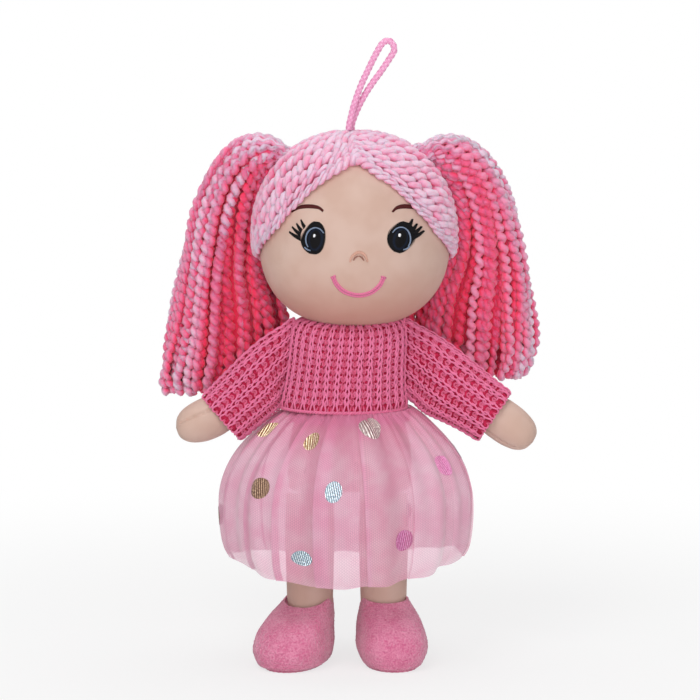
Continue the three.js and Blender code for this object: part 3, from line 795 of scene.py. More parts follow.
cap = {
    "lift": 1.4, "clothLift": 0.65, "spine": (20, 215), "apexRise": 41, "tipDrop": 5.5, "front": 3, "nape": 0.93,
    "napeDrop": 24, "rowPitch": 4.0, "lastRow": 0.96, "points": 150, "partRound": 0.03,
    # the first rows bow up and are found straight from the front, the others from the middle of the head
    "bow": 5.6, "bowRows": 0.5, "frontRows": 0.32,
    "step": 1.15, "radius": (1.0, 3.1), "gapShare": 0.52, "plyPitch": 10.0,
    # how far each ply lies from the row's middle, in its radius; rows wider than flatFrom are flatter
    "plyReach": 0.54, "plyRise": 0.85, "flatFrom": 2.2, "sway": 0.9, "seat": 0.2,
    # the first row is the hairline's, fatter and more tightly twisted
    "edgePitch": 9.0, "edgeFat": 1.4,
}


def capRows():
    # each row is a line of points from the left edge over the middle to the right edge
    grown = cap["lift"]
    angles = np.radians(np.linspace(*cap["spine"], 400))
    spine = onHead(np.stack([0 * angles, -np.cos(angles), np.sin(angles)], -1) * 20, grown)
    inFront = spine[angles < math.pi / 2]
    spine = spine[np.argmin(np.abs(inFront[:, 2] - cap["apexRise"])):]
    count = int(lengthOf(spine) / cap["rowPitch"])
    starts = evenly(spine, count + 1)
    slope = (cap["napeDrop"] - cap["tipDrop"]) / (headHalf[1] + cap["front"])
    ys = np.linspace(-cap["front"], headHalf[1] * cap["nape"], 200)
    low = -cap["tipDrop"] - slope * (ys + cap["front"])
    edge = toHead(np.stack([0 * ys, ys, low], -1), np.broadcast_to([1.0, 0, 0], (len(ys), 3)), 80, grown)
    ends = evenly(edge, count + 1)
    side = np.linspace(-1, 1, cap["points"])
    share = np.sqrt(side**2 + cap["partRound"] ** 2)[:, None]
    share = (share - share.min()) / (share.max() - share.min())
    rows = []
    for row in range(count + 1):
        back = row / count
        if back > cap["lastRow"]:
            break
        outer = ends[row] * np.where(side < 0, -1, 1)[:, None] ** [1, 0, 0]
        chord = starts[row] * (1 - share) + outer * share
        chord = chord + upward * cap["bow"] * np.sin(share * math.pi) * (1 - smoothStep(back, 0, cap["bowRows"]))
        radial = smoothStep(back, 0.0, cap["frontRows"])
        way = unit(-backward * (1 - radial) + unit(chord) * radial)
        rows.append(toHead(chord, way, 90, grown))
    return np.array(rows)


def makeCap():
    rows = capRows()
    high, wide = rows.shape[:2]
    steps = lengths(np.diff(rows, axis=0))[..., 0]
    gaps = np.vstack([steps[:1], (steps[:-1] + steps[1:]) / 2, steps[-1:]])
    generator = np.random.default_rng(5)
    yarn = Skein()
    for number, row in enumerate(rows):
        pitch, fatter = (cap["edgePitch"], cap["edgeFat"]) if number == 0 else (cap["plyPitch"], 1.0)
        length = lengthOf(row)
        both = evenly(np.hstack([row, gaps[number][:, None]]), max(12, int(length / cap["step"])))
        line, gap = both[:, :3], both[:, 3]
        out = headOut(line)
        beside = np.cross(unit(np.gradient(line, axis=0)), out)
        radius = np.clip(gap * cap["gapShare"], *cap["radius"])
        run = np.linspace(0, length, len(line))
        phase = generator.uniform(0, tau)
        drift = noiseAt(run * 0.12, number * 3.7)
        lead = min(number, 2) * noiseAt(run * 0.07, number * 5.1, 9)
        reach = radius * cap["plyReach"] * fatter
        rise = reach * cap["plyRise"] * cap["flatFrom"] / np.maximum(radius, cap["flatFrom"])
        for ply in (0, math.pi):
            turn = tau * run / pitch + phase + ply + lead
            middle = line + beside * (np.cos(turn) * reach + cap["sway"] * drift * radius)[:, None] \
                + out * (np.sin(turn) * rise + cap["seat"])[:, None]
            fat = 0.58 + 0.12 * np.cos(turn * 2) + 0.17 * np.sin(turn)
            tint = 0.66 + 0.08 * math.sin(number * 1.7 + ply) + 0.20 * drift
            # the side of each ply that looks out is painted paler and the side that looks in darker, as painted light
            # and shade
            yarn.tube(middle, out, radius * fat * fatter, 8, tint, twist=0.05, paintedLight=0.28)
    # under the yarn lies the cloth that it is sewn to
    cloth = Skein()
    cloth.add(onHead(rows, cap["clothLift"]).reshape(-1, 3), [patchFaces(wide, high, False)[:, ::-1]])
    for skein, name, look, nodes in ((yarn, "hair_cap_yarn", hairYarn, ["hair_cap"]),
                                     (cloth, "hair_cap_cloth", hairBacking, [])):
        piece = place(skein.piece(name, look), "head", "hair_yarn", *nodes)
        piece.data.transform(Matrix.Translation(headMiddle * mm))
    print("hair cap,", high, "rows")


makeCap()


# Hair bunches

bunch = {
    "tieHalf": 32, "tieRise": 46, "reach": {"left": 66.0, "right": 64.6}, "fall": {"left": 128, "right": 120},
    "halfDepth": 14, "lean": 30, "rootHalf": 4, "bendReach": 17, "inward": {"left": 0.02, "right": 0.125},
    "outward": {"left": 0.02, "right": -0.13}, "crown": {"left": 0.008, "right": 0.038},
    # from the cap to the tips: shares of the reach and the fall to the outer edge and the inner edge, then of
    # the half depth and the lean
    "rows": [
        (-0.170, 0.120, -0.060, 0.180, 0.36, 0.05), (-0.060, 0.050, 0.000, 0.110, 0.39, 0.06),
        (-0.010, 0.026, 0.045, 0.080, 0.40, 0.06), (0.050, 0.000, 0.080, 0.066, 0.45, 0.07),
        (0.135, -0.032, 0.100, 0.072, 0.58, 0.10), (0.255, -0.041, 0.115, 0.090, 0.75, 0.15),
        (0.400, -0.020, 0.132, 0.112, 0.89, 0.22), (0.540, 0.045, 0.155, 0.142, 0.96, 0.30),
        (0.655, 0.140, 0.178, 0.185, 1.00, 0.40), (0.750, 0.265, 0.188, 0.250, 1.00, 0.50),
        (0.818, 0.413, 0.180, 0.345, 1.00, 0.63), (0.893, 0.572, 0.150, 0.475, 0.96, 0.77),
        (0.965, 0.731, 0.060, 0.628, 0.93, 0.90), (1.020, 0.874, 0.005, 0.787, 0.89, 0.98),
        (1.040, 0.945, 0.010, 0.890, 0.82, 1.00), (0.985, 1.000, 0.120, 0.984, 0.62, 1.00)],
}
strands = {
    "points": 260, "radius": 2.15, "fullAt": 13.5, "thinnest": 0.62, "crimp": 5.6, "beside": 0.52, "out": 0.28,
    "seed": {"left": 11, "right": 12}, "swirl": 0.3, "wave": 0.16, "waves": 6, "shorter": 0.03,
    # tints: what each bunch starts from, and what its outside, its crown and its tips add, the outside and the crown
    # as painted light where the bunch faces out and up; one strand is marked by a pale upper half
    "pale": {"left": 0.03, "right": 0.10}, "outside": 0.40, "crown": 0.22, "tips": 0.20, "flecks": [0, 0, 0.1, 0.3],
    "marked": {"left": 24, "right": 9}, "mark": 0.55,
    # how many strands lie at each share of the way out from the bunch's middle; from the third on they are inside
    "rings": ((32, 0.92), (24, 0.78), (16, 0.58), (9, 0.36), (4, 0.14)), "inside": 0.7,
}
# from start to end of the bunch's length, ribbed, with its ends rounded over a short share of it
mass = {"share": 0.66, "start": 0.018, "startRound": 0.03, "end": 0.902, "endRound": 0.04, "rings": 90, "sides": 120,
        "ribs": 20, "ribDepth": 0.05, "ribLight": 0.08}
tie = {"at": 1 / 6, "width": 0.8, "depth": 0.9, "radius": 1.0, "ruffle": 0.12, "ruffles": 40, "points": 160}


def bunchFrame(name, at):
    # middle, half across and half deep of the bunch at shares of its length
    outerOut, outerFall, innerOut, innerFall, depth, lean = throughRows(bunch["rows"], at).T
    innerOut = innerOut - bunch["inward"][name] * smoothStep(at, 0.66, 0.82)
    outerOut = outerOut + bunch["outward"][name] * smoothStep(at, 0.72, 1.0)
    outerFall = outerFall - bunch["crown"][name] * np.exp(-((at - 0.09) / 0.09) ** 2)

    def spot(out, fall):
        x = sideOf[name] * (bunch["tieHalf"] + out * bunch["reach"][name])
        return np.stack([x, 0 * x, bunch["tieRise"] - fall * bunch["fall"][name]], -1)
    outer, inner = spot(outerOut, outerFall), spot(innerOut, innerFall)
    middle = headMiddle + (outer + inner) / 2 + backward * (lean * bunch["lean"])[:, None]
    return middle, (outer - inner) / 2, (depth * bunch["halfDepth"])[:, None] * backward


def placeInBunch(piece, name, slot, *nodes):
    # a piece of the bunch, left where it stands, in the place of the nodes that it stands for
    root = headMiddle + np.array([sideOf[name] * (bunch["tieHalf"] - bunch["rootHalf"]), 0, bunch["tieRise"]])
    reach = np.array([sideOf[name], 0, -1]) * bunch["bendReach"]
    place(piece, f"bunch_{name}", slot, *nodes, bend=("head", root, root + reach))


def addStrand(skein, name, generator, number, ring, start, marked):
    # one crimped yarn from the cap to the tips
    at = np.linspace(0, 1, strands["points"])
    middle, across, deep = bunchFrame(name, at)
    full = np.clip(np.sqrt(lengths(across) * lengths(deep))[:, 0] / strands["fullAt"], strands["thinnest"], 1)
    start = start + generator.uniform(-0.1, 0.1)
    turn = start + (generator.uniform(-0.5, 0.5) + strands["swirl"]) * (smoothStep(at, 0.1, 1.0) - 0.5)
    wander = generator.uniform(0, 50)
    away = ring * (1 + strands["wave"] * noiseAt(wander, at * strands["waves"]))
    line = middle + across * (away * np.cos(turn))[:, None] + deep * (away * np.sin(turn))[:, None]
    count = int(len(line) * (1 - generator.uniform(0, strands["shorter"])))
    radius = full * strands["radius"] * generator.uniform(0.92, 1.08)
    # the outside and the crown of the bunch are painted paler, as painted light
    pale = strands["pale"][name] + strands["outside"] * smoothStep(away * np.cos(turn), 0.0, 1.05) \
        + strands["crown"] * (1 - smoothStep(at, 0.28, 0.52)) + strands["tips"] * smoothStep(at, 0.78, 1.0) \
        + generator.choice(strands["flecks"])
    length = lengthOf(line[:count])
    both = evenly(np.hstack([line, radius[:, None], pale[:, None], middle])[:count],
                  int(length / (0.85 if ring > strands["inside"] else 1.1)))
    line, radius, pale, centre = both[:, :3], both[:, 3], both[:, 4], both[:, 5:]
    along = unit(np.gradient(line, axis=0))
    out = squareTo(unit(line - centre + 1e-6), along)
    beside = np.cross(along, out)
    run = np.linspace(0, length, len(line))
    phase = 0.5 * number + generator.uniform(-0.5, 0.5)
    # strands deeper in the bunch are painted darker, as painted shade
    bright = pale + (-0.05 if ring > 0.9 else -0.20) + generator.uniform(-0.12, 0.12)
    if marked:
        bright = bright + strands["mark"] * (1 - smoothStep(run / length, 0.40, 0.60))
    uneven = noiseAt(wander + 7, run / 9)
    twist = tau * run / strands["crimp"] + phase + 1.5 * uneven
    sway = beside * np.cos(twist)[:, None] * strands["beside"] + out * np.sin(twist)[:, None] * strands["out"]
    # each crimp is painted paler where it bends out, and the side of the strand that looks out paler: painted light
    # and shade
    skein.tube(line + sway * radius[:, None], out, radius * (0.82 + 0.05 * np.sin(twist) + 0.10 * uneven),
               8 if ring > strands["inside"] else 6, bright + 0.06 * np.sin(twist), twist=0.04, paintedLight=0.30)


def addMass(skein, name):
    # behind the outer strands the yarn lies too close to see past; it takes the deepest tint, painted shade, and its
    # ribs are painted paler on their tops and darker between them, as painted light and shade
    share = np.linspace(mass["start"] + 0.002, mass["end"] - 0.002, mass["rings"])
    middle, across, deep = bunchFrame(name, share)
    close = mass["share"] * np.sqrt(np.clip((share - mass["start"]) / mass["startRound"], 0, 1)
                                    * np.clip((mass["end"] - share) / mass["endRound"], 0, 1))
    turn = turnsOf(mass["sides"])
    share = share[:, None]
    ripple = close[:, None] * (1 + mass["ribDepth"] * np.cos(mass["ribs"] * turn + 0.4 * np.sin(share * 60)))
    points = middle[:, None] + across[:, None] * (ripple * np.cos(turn))[..., None] \
        + deep[:, None] * (ripple * np.sin(turn))[..., None]
    strand = np.stack(np.broadcast_arrays(share * 150, turn * 20, 0.0), -1)
    tint = mass["ribLight"] * np.cos(mass["ribs"] * turn) + 0 * share
    skein.add(points.reshape(-1, 3), [patchFaces(mass["sides"], mass["rings"], True)[:, ::-sideOf[name]]],
              strand.reshape(-1, 3), tint.ravel())


def makeBunch(name):
    generator = np.random.default_rng(strands["seed"][name])
    outer, inner = Skein(), Skein()
    number = 0
    for count, ring in strands["rings"]:
        for strand in range(count):
            start = tau * (strand + 0.5 * (number % 2)) / count
            marked = ring > 0.9 and strand == strands["marked"][name]
            addStrand(outer if ring > strands["inside"] else inner, name, generator, number, ring, start, marked)
            number += 1
    addMass(inner, name)
    placeInBunch(outer.piece(f"bunch_{name}_outer_yarn", hairYarn), name, "hair_yarn", f"hair_bunch_{name}")
    placeInBunch(inner.piece(f"bunch_{name}_inner_yarn", hairYarn), name, "hair_yarn")


def makeTie(name):
    # it lies among the strands, where the bunch leaves the cap
    centre, across, deep = [part[0] for part in bunchFrame(name, np.array([tie["at"]]))]
    turn = turnsOf(tie["points"])
    ruffle = np.sin(turn * tie["ruffles"])
    scrunch = (1 + 0.02 * ruffle)[:, None]
    line = centre + np.cos(turn)[:, None] * scrunch * across * tie["width"] \
        + np.sin(turn)[:, None] * scrunch * deep * tie["depth"]
    ring = Skein()
    ring.tube(line, unit(line - centre), tie["radius"] + tie["ruffle"] * ruffle, 10, closed=True)
    placeInBunch(ring.piece(f"tie_{name}", elastic), name, "elastic", f"hair_tie_{name}")


for name in sideOf:
    makeBunch(name)
print("hair bunches made")
for name in sideOf:
    makeTie(name)


# Body and neck

cushion = {
    "low": 86.4, "top": 166, "halfWidth": 29, "halfDepth": 22, "round": 2.3,
    # from the seat to the neck: shares of the height, the half width and the half depth
    "rows": [(0.00, 0.00, 0.00), (0.00, 0.80, 0.03), (0.02, 1.02, 0.12), (0.06, 1.05, 0.30), (0.14, 1.07, 0.64),
             (0.26, 1.06, 0.92), (0.40, 0.99, 1.00), (0.52, 0.90, 0.98), (0.66, 0.86, 0.93), (0.80, 0.86, 0.84),
             (0.90, 0.84, 0.62), (0.96, 0.74, 0.40), (0.99, 0.50, 0.22), (1.00, 0.00, 0.00)],
}
# from the body to the head: shares of the height and of the half width
neckRows = [(0, 0), (0, 0.69), (0.25, 0.69), (0.38, 0.76), (0.55, 1.0), (0.75, 0.9), (0.92, 0.55), (1, 0)]


def bodyForm(share, turn):
    rise, width, depth = throughRows(cushion["rows"], share).T
    x = np.maximum(width, 0) * cushion["halfWidth"] * squared(np.cos(turn), cushion["round"])
    y = np.maximum(depth, 0) * cushion["halfDepth"] * squared(np.sin(turn), cushion["round"])
    return np.stack([x, y, cushion["low"] + rise * (cushion["top"] - cushion["low"])], -1)


def neckForm(share, turn):
    low, high = boxOf("neck")
    rise, width = throughRows(neckRows, share).T
    radius = np.maximum(width, 0) * (high[0] - low[0]) / 2
    x = (low[0] + high[0]) / 2 + radius * np.cos(turn)
    return np.stack([x, radius * np.sin(turn), low[2] + rise * (high[2] - low[2])], -1)


stuffed("body_cushion", bodyForm, 96, 72, "trunk", "skin_cloth", "torso", skinCloth)
stuffed("neck_stump", neckForm, 48, 40, "neck", "skin_cloth", "neck", skinCloth)


# Knitting: each row is one yarn that loops through the row beside it, in ribs one stitch wide

# yarn radius and how its loops sway, reach into the next row, weave in and out and stand up in ribs; then the bound
# edge's radius, pitch and place, and the dark sheet behind the loops, painted shade seen between them
knit = {"radius": 0.46, "steps": 12, "sides": 6, "sway": 0.25, "reach": 0.80, "weave": 0.75, "rib": 0.75,
        "spread": 0.15, "edge": 0.46, "edgePitch": 3.0, "edgeAt": 0.014, "ridge": 0.30, "thickness": 1.0}


def knitted(name, body, node, surface, columns, rows, backing, seed, shadeUnderChin=0.0):
    # surface gives points for shares round and along; columns counts the raised ribs; backing is how far in the dark
    # sheet of painted shade behind the loops starts; the last argument paints shade on the last rows, under the chin
    generator = np.random.default_rng(seed)
    ring = turnsOf(24) / tau
    girth = surface(ring, 0 * ring + 0.5)
    facing = (outFrom(surface, ring, 0 * ring + 0.5, 1) * (girth - girth.mean(0))).sum()
    sign = math.copysign(1, facing)
    skein = Skein()
    stitches = 2 * columns
    along = np.arange(stitches * knit["steps"]) / knit["steps"]
    number = along.astype(int)
    turn = (along - number) * tau
    front = np.where(number % 2 == 0, 1.0, -1.0)
    spot = along + knit["sway"] * np.sin(2 * turn)
    fromRib = (spot - 0.5) / 2 * tau
    spot = spot + knit["spread"] * np.sin(fromRib) / math.pi
    for row in range(rows):
        uneven = generator.normal(0, 0.05, stitches)[number]
        u = spot / stitches + uneven / stitches
        v = (row + 0.9 + knit["reach"] * np.cos(turn) * (1 + uneven)) / (rows + 0.8)
        out = outFrom(surface, u, v, sign)
        lift = -knit["weave"] * np.cos(2 * turn) * np.sin(turn / 2) * front + knit["rib"] * np.cos(fromRib)
        line = surface(u, v) + out * lift[:, None]
        # raised ribs are painted paler and sunk ones darker, the last rows darker under the chin, and the side of the
        # yarn that looks out paler: painted light and shade
        tint = 0.60 + 0.3 * np.cos(fromRib) + generator.normal(0, 0.05) - shadeUnderChin * smoothStep(v, 0.72, 0.98)
        skein.tube(line, out, knit["radius"], knit["sides"], tint, twist=0.25, closed=True, paintedLight=0.2)
    # the edge is bound off with a twisted pair of yarns
    u = np.linspace(0, 1, 14 * columns, endpoint=False)
    v = 0 * u + knit["edgeAt"]
    out = outFrom(surface, u, v, sign)
    line = surface(u, v)
    down = unit(line - surface(u, v + 0.05))
    twists = round(lengthOf(line) / knit["edgePitch"])
    for ply in (0, math.pi):
        turn = u * tau * twists + ply
        pair = line + (out * np.sin(turn)[:, None] + down * np.cos(turn)[:, None]) * knit["edge"] + out * 0.25
        # the side of each ply that looks out is painted paler, as painted light
        skein.tube(pair, out, knit["edge"] * 1.05, knit["sides"], 0.62, twist=0.25, closed=True, paintedLight=0.25)
    place(skein.piece(name, knitYarn), body, "knit_yarn", node)
    # a dark sheet behind the loops, as thick as the knit: painted shade where the gaps between the loops show through
    wide, high = 6 * columns, 3 * rows
    u, v = sharesOver(np.arange(wide) / wide, np.linspace(0.01, 0.99, high))
    out = outFrom(surface, u, v, sign)
    ribs = np.cos(((u * stitches) - 0.5) / 2 * tau)
    outer = surface(u, v) + out * (knit["ridge"] * ribs - backing)[:, None]
    inner = surface(u, v) - out * (backing + knit["thickness"])
    shell = Skein()
    shell.add(np.vstack([outer, inner]), wallFaces(wide, high, sign))
    place(shell.piece(name + "_inside", knitShadeSheet), body, "knit_yarn")


# Jumper

jumper = {
    "hem": 129.3, "length": 43.4, "halfWidth": 31.6, "halfDepth": 25.7, "dip": 6.5, "columns": 32, "rows": 13,
    "lean": -3.2, "backing": 0.5, "seed": 3, "shadeUnderChin": 0.45,
    # hem to shoulder, then over to the neck: shares of the length, half width, half depth and dip
    "rowsUp": [(0.00, 1.00, 1.00, 0.0), (0.26, 0.94, 0.93, 0.0), (0.52, 0.91, 0.88, 0.14),
               (0.77, 0.90, 0.82, 0.34), (0.93, 0.87, 0.75, 0.46), (1.01, 0.79, 0.66, 0.42),
               (1.03, 0.64, 0.58, 0.30), (1.00, 0.48, 0.48, 0.16), (0.96, 0.35, 0.41, 0.0)],
}
jumperShare = evenShares(jumper["rowsUp"], lambda rows: np.stack(
    [rows[:, 1] * jumper["halfWidth"] * 0.6, rows[:, 2] * jumper["halfDepth"] * 0.8,
     rows[:, 0] * jumper["length"]], -1))
ringTurns = np.linspace(0, tau, 721)
ringRun = runAlong(np.stack([jumper["halfWidth"] * np.cos(ringTurns), jumper["halfDepth"] * np.sin(ringTurns)], -1))


def jumperSurface(u, v):
    rise, width, depth, dip = throughRows(jumper["rowsUp"], jumperShare(v)).T
    turn = np.interp(np.mod(u, 1), ringRun / ringRun[-1], ringTurns)
    x = width * jumper["halfWidth"] * np.cos(turn) + jumper["lean"] * (1 - np.clip(rise, 0, 1))
    y = depth * jumper["halfDepth"] * np.sin(turn)
    z = jumper["hem"] + rise * jumper["length"] - dip * jumper["dip"] * np.sin(turn) ** 2
    return np.stack([x, y, z], -1)


knitted("jumper_knit", "trunk", "jumper_body", jumperSurface, jumper["columns"], jumper["rows"], jumper["backing"],
        jumper["seed"], jumper["shadeUnderChin"])
print("jumper knitted")


# Arms and sleeves

arm = {
    "hingeHalf": 30, "hinge": 155, "halfWidth": 10.8, "halfDepth": 9.2, "forward": 7,
    "length": {"left": 66, "right": 75}, "drop": {"left": 41, "right": 33.5}, "bend": {"left": 11.0, "right": -1},
    "seam": {"left": 28, "right": -52}, "seamDepth": 0.95, "seamWidth": 0.9,
    # shoulder to fingertips: shares of the length, half width and half depth, and the turn to square
    "rows": [(-0.03, 0.0, 0.0, 0), (-0.02, 1.10, 0.06, 0), (0.020, 1.16, 0.065, 0), (0.085, 1.14, 0.14, 0),
             (0.150, 1.10, 0.42, 0.3), (0.240, 1.05, 0.82, 0.6), (0.400, 1.00, 1.00, 1), (0.650, 0.95, 0.94, 1),
             (0.740, 0.98, 0.97, 1), (0.840, 0.95, 1.00, 1), (0.930, 0.78, 0.86, 1), (0.983, 0.46, 0.52, 1),
             (1.0, 0.0, 0.0, 1)],
}
sleeve = {
    "halfWidth": 14.2, "halfDepth": 11.8, "length": {"left": 45.6, "right": 51.5}, "columns": 15,
    "stitchRows": 14, "sag": {"left": 0.4, "right": 1.0}, "belly": {"left": 0.0, "right": 2.6},
    "backing": 0.25, "seed": {"left": 7, "right": 9},
    "rows": [(-0.08, 1.18, 0.20, 0), (0.00, 1.24, 0.24, 0), (0.10, 1.26, 0.34, 0), (0.20, 1.24, 0.52, 0.2),
             (0.34, 1.17, 0.82, 0.5), (0.52, 1.09, 0.98, 0.8), (0.76, 1.03, 1.01, 1), (0.94, 1.00, 1.00, 1),
             (1.02, 0.98, 0.97, 1)],
}


def armAxes(name):
    # along the arm, square to it in the plane of the drop, and deep
    down, ahead = math.radians(arm["drop"][name]), math.radians(arm["forward"])
    level = np.array([sideOf[name] * math.cos(ahead), -math.sin(ahead), 0])
    return (level * math.cos(down) - upward * math.sin(down), level * math.sin(down) + upward * math.cos(down),
            np.array([sideOf[name] * math.sin(ahead), math.cos(ahead), 0]))


def limbSurface(name, limb, share, turn, thick=1.0):
    # points on the arm or the sleeve for shares of its length and turns round it; on its middle line with thick 0
    direction, square, deep = armAxes(name)
    along, width, depth, turned = throughRows(limb["rows"], share).T
    across = unit(upward * (1 - turned)[:, None] + square * turned[:, None])
    hinge = np.array([sideOf[name] * arm["hingeHalf"], 0, arm["hinge"]])
    return (hinge + direction * (along * limb["length"][name])[:, None]
            + across * (np.maximum(width, 0) * limb["halfWidth"] * thick * np.cos(turn))[:, None]
            + deep * (np.maximum(depth, 0) * limb["halfDepth"] * thick * np.sin(turn))[:, None])


def makeArm(name):
    direction, square, _ = armAxes(name)

    def armForm(share, turn):
        points, axis = [limbSurface(name, arm, share, turn, thick) for thick in (1, 0)]
        along = throughRows(arm["rows"], share)[:, 0]
        # a sewn seam sinks in along the front, from the sleeve to the tip
        near = seamAt(turn, math.radians(-90 + arm["seam"][name]), arm["halfWidth"], arm["seamWidth"]) \
            * smoothStep(along, 0.5, 0.66) * (1 - smoothStep(along, 0.95, 1.0))
        pucker = 1 + 0.4 * np.sin(along * arm["length"][name] * 1.7)
        points = points - unit(points - axis) * (near * pucker * arm["seamDepth"])[:, None]
        # the hand bends away from the line of the sleeve
        reach = np.clip(along, 0, 1)
        lean = np.arctan(4 * arm["bend"][name] / arm["length"][name] * reach**3)
        level = (points - axis) @ square
        return (points + square * (arm["bend"][name] * reach**4 + level * (np.cos(lean) - 1))[:, None]
                - direction * (level * np.sin(lean))[:, None])

    stuffed(f"arm_{name}_stuffed", armForm, 160, 120, f"arm_{name}", "skin_cloth", f"arm_{name}", skinCloth)
    share = evenShares(sleeve["rows"], lambda rows: np.stack(
        [rows[:, 0] * sleeve["length"][name], rows[:, 2] * sleeve["halfDepth"] * 0.5], -1))

    def sleeveSurface(u, v):
        points = limbSurface(name, sleeve, share(v), u * tau * sideOf[name])
        along = throughRows(sleeve["rows"], share(v))[:, 0]
        fall = sleeve["sag"][name] * smoothStep(along, 0.2, 1) \
            + sleeve["belly"][name] * np.maximum(-np.cos(u * tau), 0) * (1 - smoothStep(along, 0.3, 0.9))
        return points - square * fall[:, None]

    knitted(f"sleeve_{name}_knit", f"arm_{name}", f"sleeve_{name}", sleeveSurface, sleeve["columns"],
            sleeve["stitchRows"], sleeve["backing"], sleeve["seed"][name])


for name in sideOf:
    makeArm(name)
print("arms and sleeves made")


# Legs and shoes

leg = {
    "hip": 86, "halfSpan": 18.5, "shift": -1.4, "radius": 12.3, "length": 61.2, "gap": 0.3, "seamDepth": 0.6,
    "seamWidth": 0.9,
    # hip to ankle: shares of the length, the half width and the half depth
    "rows": [(0.00, 0.00, 0.00), (0.00, 0.90, 0.03), (0.03, 0.96, 0.14), (0.09, 0.98, 0.40), (0.20, 1.00, 0.76),
             (0.34, 1.02, 0.95), (0.50, 1.00, 1.00), (0.72, 0.97, 0.98), (0.90, 0.94, 0.95), (0.97, 0.86, 0.88),
             (1.00, 0.55, 0.56), (1.00, 0.00, 0.00)],
}
shoe = {
    "base": 1.3, "height": 33.5, "halfWidth": {"left": 17.2, "right": 16.6}, "halfLength": 26,
    "ahead": {"left": 9.5, "right": 7}, "slope": {"left": 4.2, "right": 1.8}, "taper": 0.24, "round": 2.2,
    "turn": {"left": -29, "right": 15}, "bottom": {"left": 1.06, "right": 1.0}, "lean": {"left": -1.6, "right": 0.8},
    "pile": 0.45, "pileSize": 0.9, "lumps": 0.4, "lumpSize": 9,
    # sole to opening: shares of the height, half width, half length, the lead of the foot and the slope
    "rows": [(-0.03, 0.00, 0.00, 1.00, 0), (-0.03, 0.55, 0.60, 1.00, 0), (0.00, 0.76, 0.86, 1.00, 0),
             (0.08, 0.88, 0.95, 1.00, 0), (0.28, 1.00, 1.00, 1.00, 0.1), (0.53, 0.96, 0.94, 0.92, 0.3),
             (0.77, 0.84, 0.77, 0.62, 0.7), (0.93, 0.72, 0.60, 0.25, 1), (0.995, 0.67, 0.54, 0.06, 1),
             (1.01, 0.62, 0.49, 0.04, 1), (0.95, 0.58, 0.45, 0.02, 1), (0.90, 0.0, 0.0, 0.02, 1)],
}
sole = {
    "halfWidth": 12.0, "halfLength": 21.4, "thickness": 1.6, "stitches": 34, "stitchDepth": 0.012,
    # bottom to top: shares of the thickness and of the outline
    "rows": [(0, 0), (0, 0.9), (0.25, 1.0), (0.8, 1.02), (1.1, 0.97), (1.1, 0)],
}


def makeLeg(name):
    side = sideOf[name]
    hip = leg["shift"] + side * leg["halfSpan"]
    turned = math.radians(shoe["turn"][name])
    spin = np.array([[math.cos(turned), math.sin(turned), 0], [-math.sin(turned), math.cos(turned), 0], [0, 0, 1]])

    def legForm(share, turn):
        fall, width, depth = throughRows(leg["rows"], share).T
        seam = seamAt(turn, math.radians(90 + side * 90), leg["radius"], leg["seamWidth"]) * leg["seamDepth"]
        radius = leg["radius"] - seam
        x = hip + np.maximum(width, 0) * radius * np.cos(turn)
        return np.stack([x, np.maximum(depth, 0) * radius * np.sin(turn),
                         leg["hip"] - leg["gap"] - fall * leg["length"]], -1)

    def shoeForm(share, turn):
        rise, width, length, lead, slope = throughRows(shoe["rows"], share).T
        across, ahead = squared(np.cos(turn), shoe["round"]), squared(np.sin(turn), shoe["round"])
        wide = np.maximum(width, 0) * (1 + (shoe["bottom"][name] - 1) * (1 - smoothStep(rise, 0, 0.4)))
        x = wide * shoe["halfWidth"][name] * across * (1 - shoe["taper"] * ahead)
        y = -lead * shoe["ahead"][name] + np.maximum(length, 0) * shoe["halfLength"] * ahead
        z = shoe["base"] + rise * (shoe["height"] - shoe["base"]) + slope * shoe["slope"][name] * np.sin(turn)
        points = np.stack([x, y, z], -1) @ spin
        middle = np.stack([0 * x, -lead * shoe["ahead"][name], z], -1) @ spin
        shift = rough(points, shoe["pileSize"], 3.0 * side) * shoe["pile"] \
            + rough(points, shoe["lumpSize"], side) * shoe["lumps"]
        points = points + unit(points - middle) * shift[:, None] * (width > 0.3)[:, None]
        points[:, 0] += hip + shoe["lean"][name] * (1 - smoothStep(rise, 0.3, 0.9))
        return points

    def soleForm(share, turn):
        rise, width = throughRows(sole["rows"], share).T
        stitched = width * (1 + sole["stitchDepth"] * np.cos(turn * sole["stitches"]))
        x = sole["halfWidth"] * np.cos(turn) * stitched * (1 - shoe["taper"] * np.sin(turn))
        y = -shoe["ahead"][name] + sole["halfLength"] * np.sin(turn) * stitched
        return np.stack([x, y, rise * sole["thickness"]], -1) @ spin + [hip + shoe["lean"][name], 0, 0]

    for kind, form, segments, rings, slot, node, cloth, fill in (
            ("leg", legForm, 128, 96, "skin_cloth", "leg", skinCloth, 0.85),
            ("shoe", shoeForm, 200, 150, "plush", "shoe", plush, 0.8),
            ("sole", soleForm, 170, 24, "plush", "shoe_sole", plush, 0.4)):
        shown = "stuffed" if kind == "leg" else "plush"
        stuffed(f"{kind}_{name}_{shown}", form, segments, rings, f"leg_{name}", slot, f"{node}_{name}", cloth)


for name in sideOf:
    makeLeg(name)
print("legs and shoes made")


# Skirt: two layers of net gathered on an elastic band

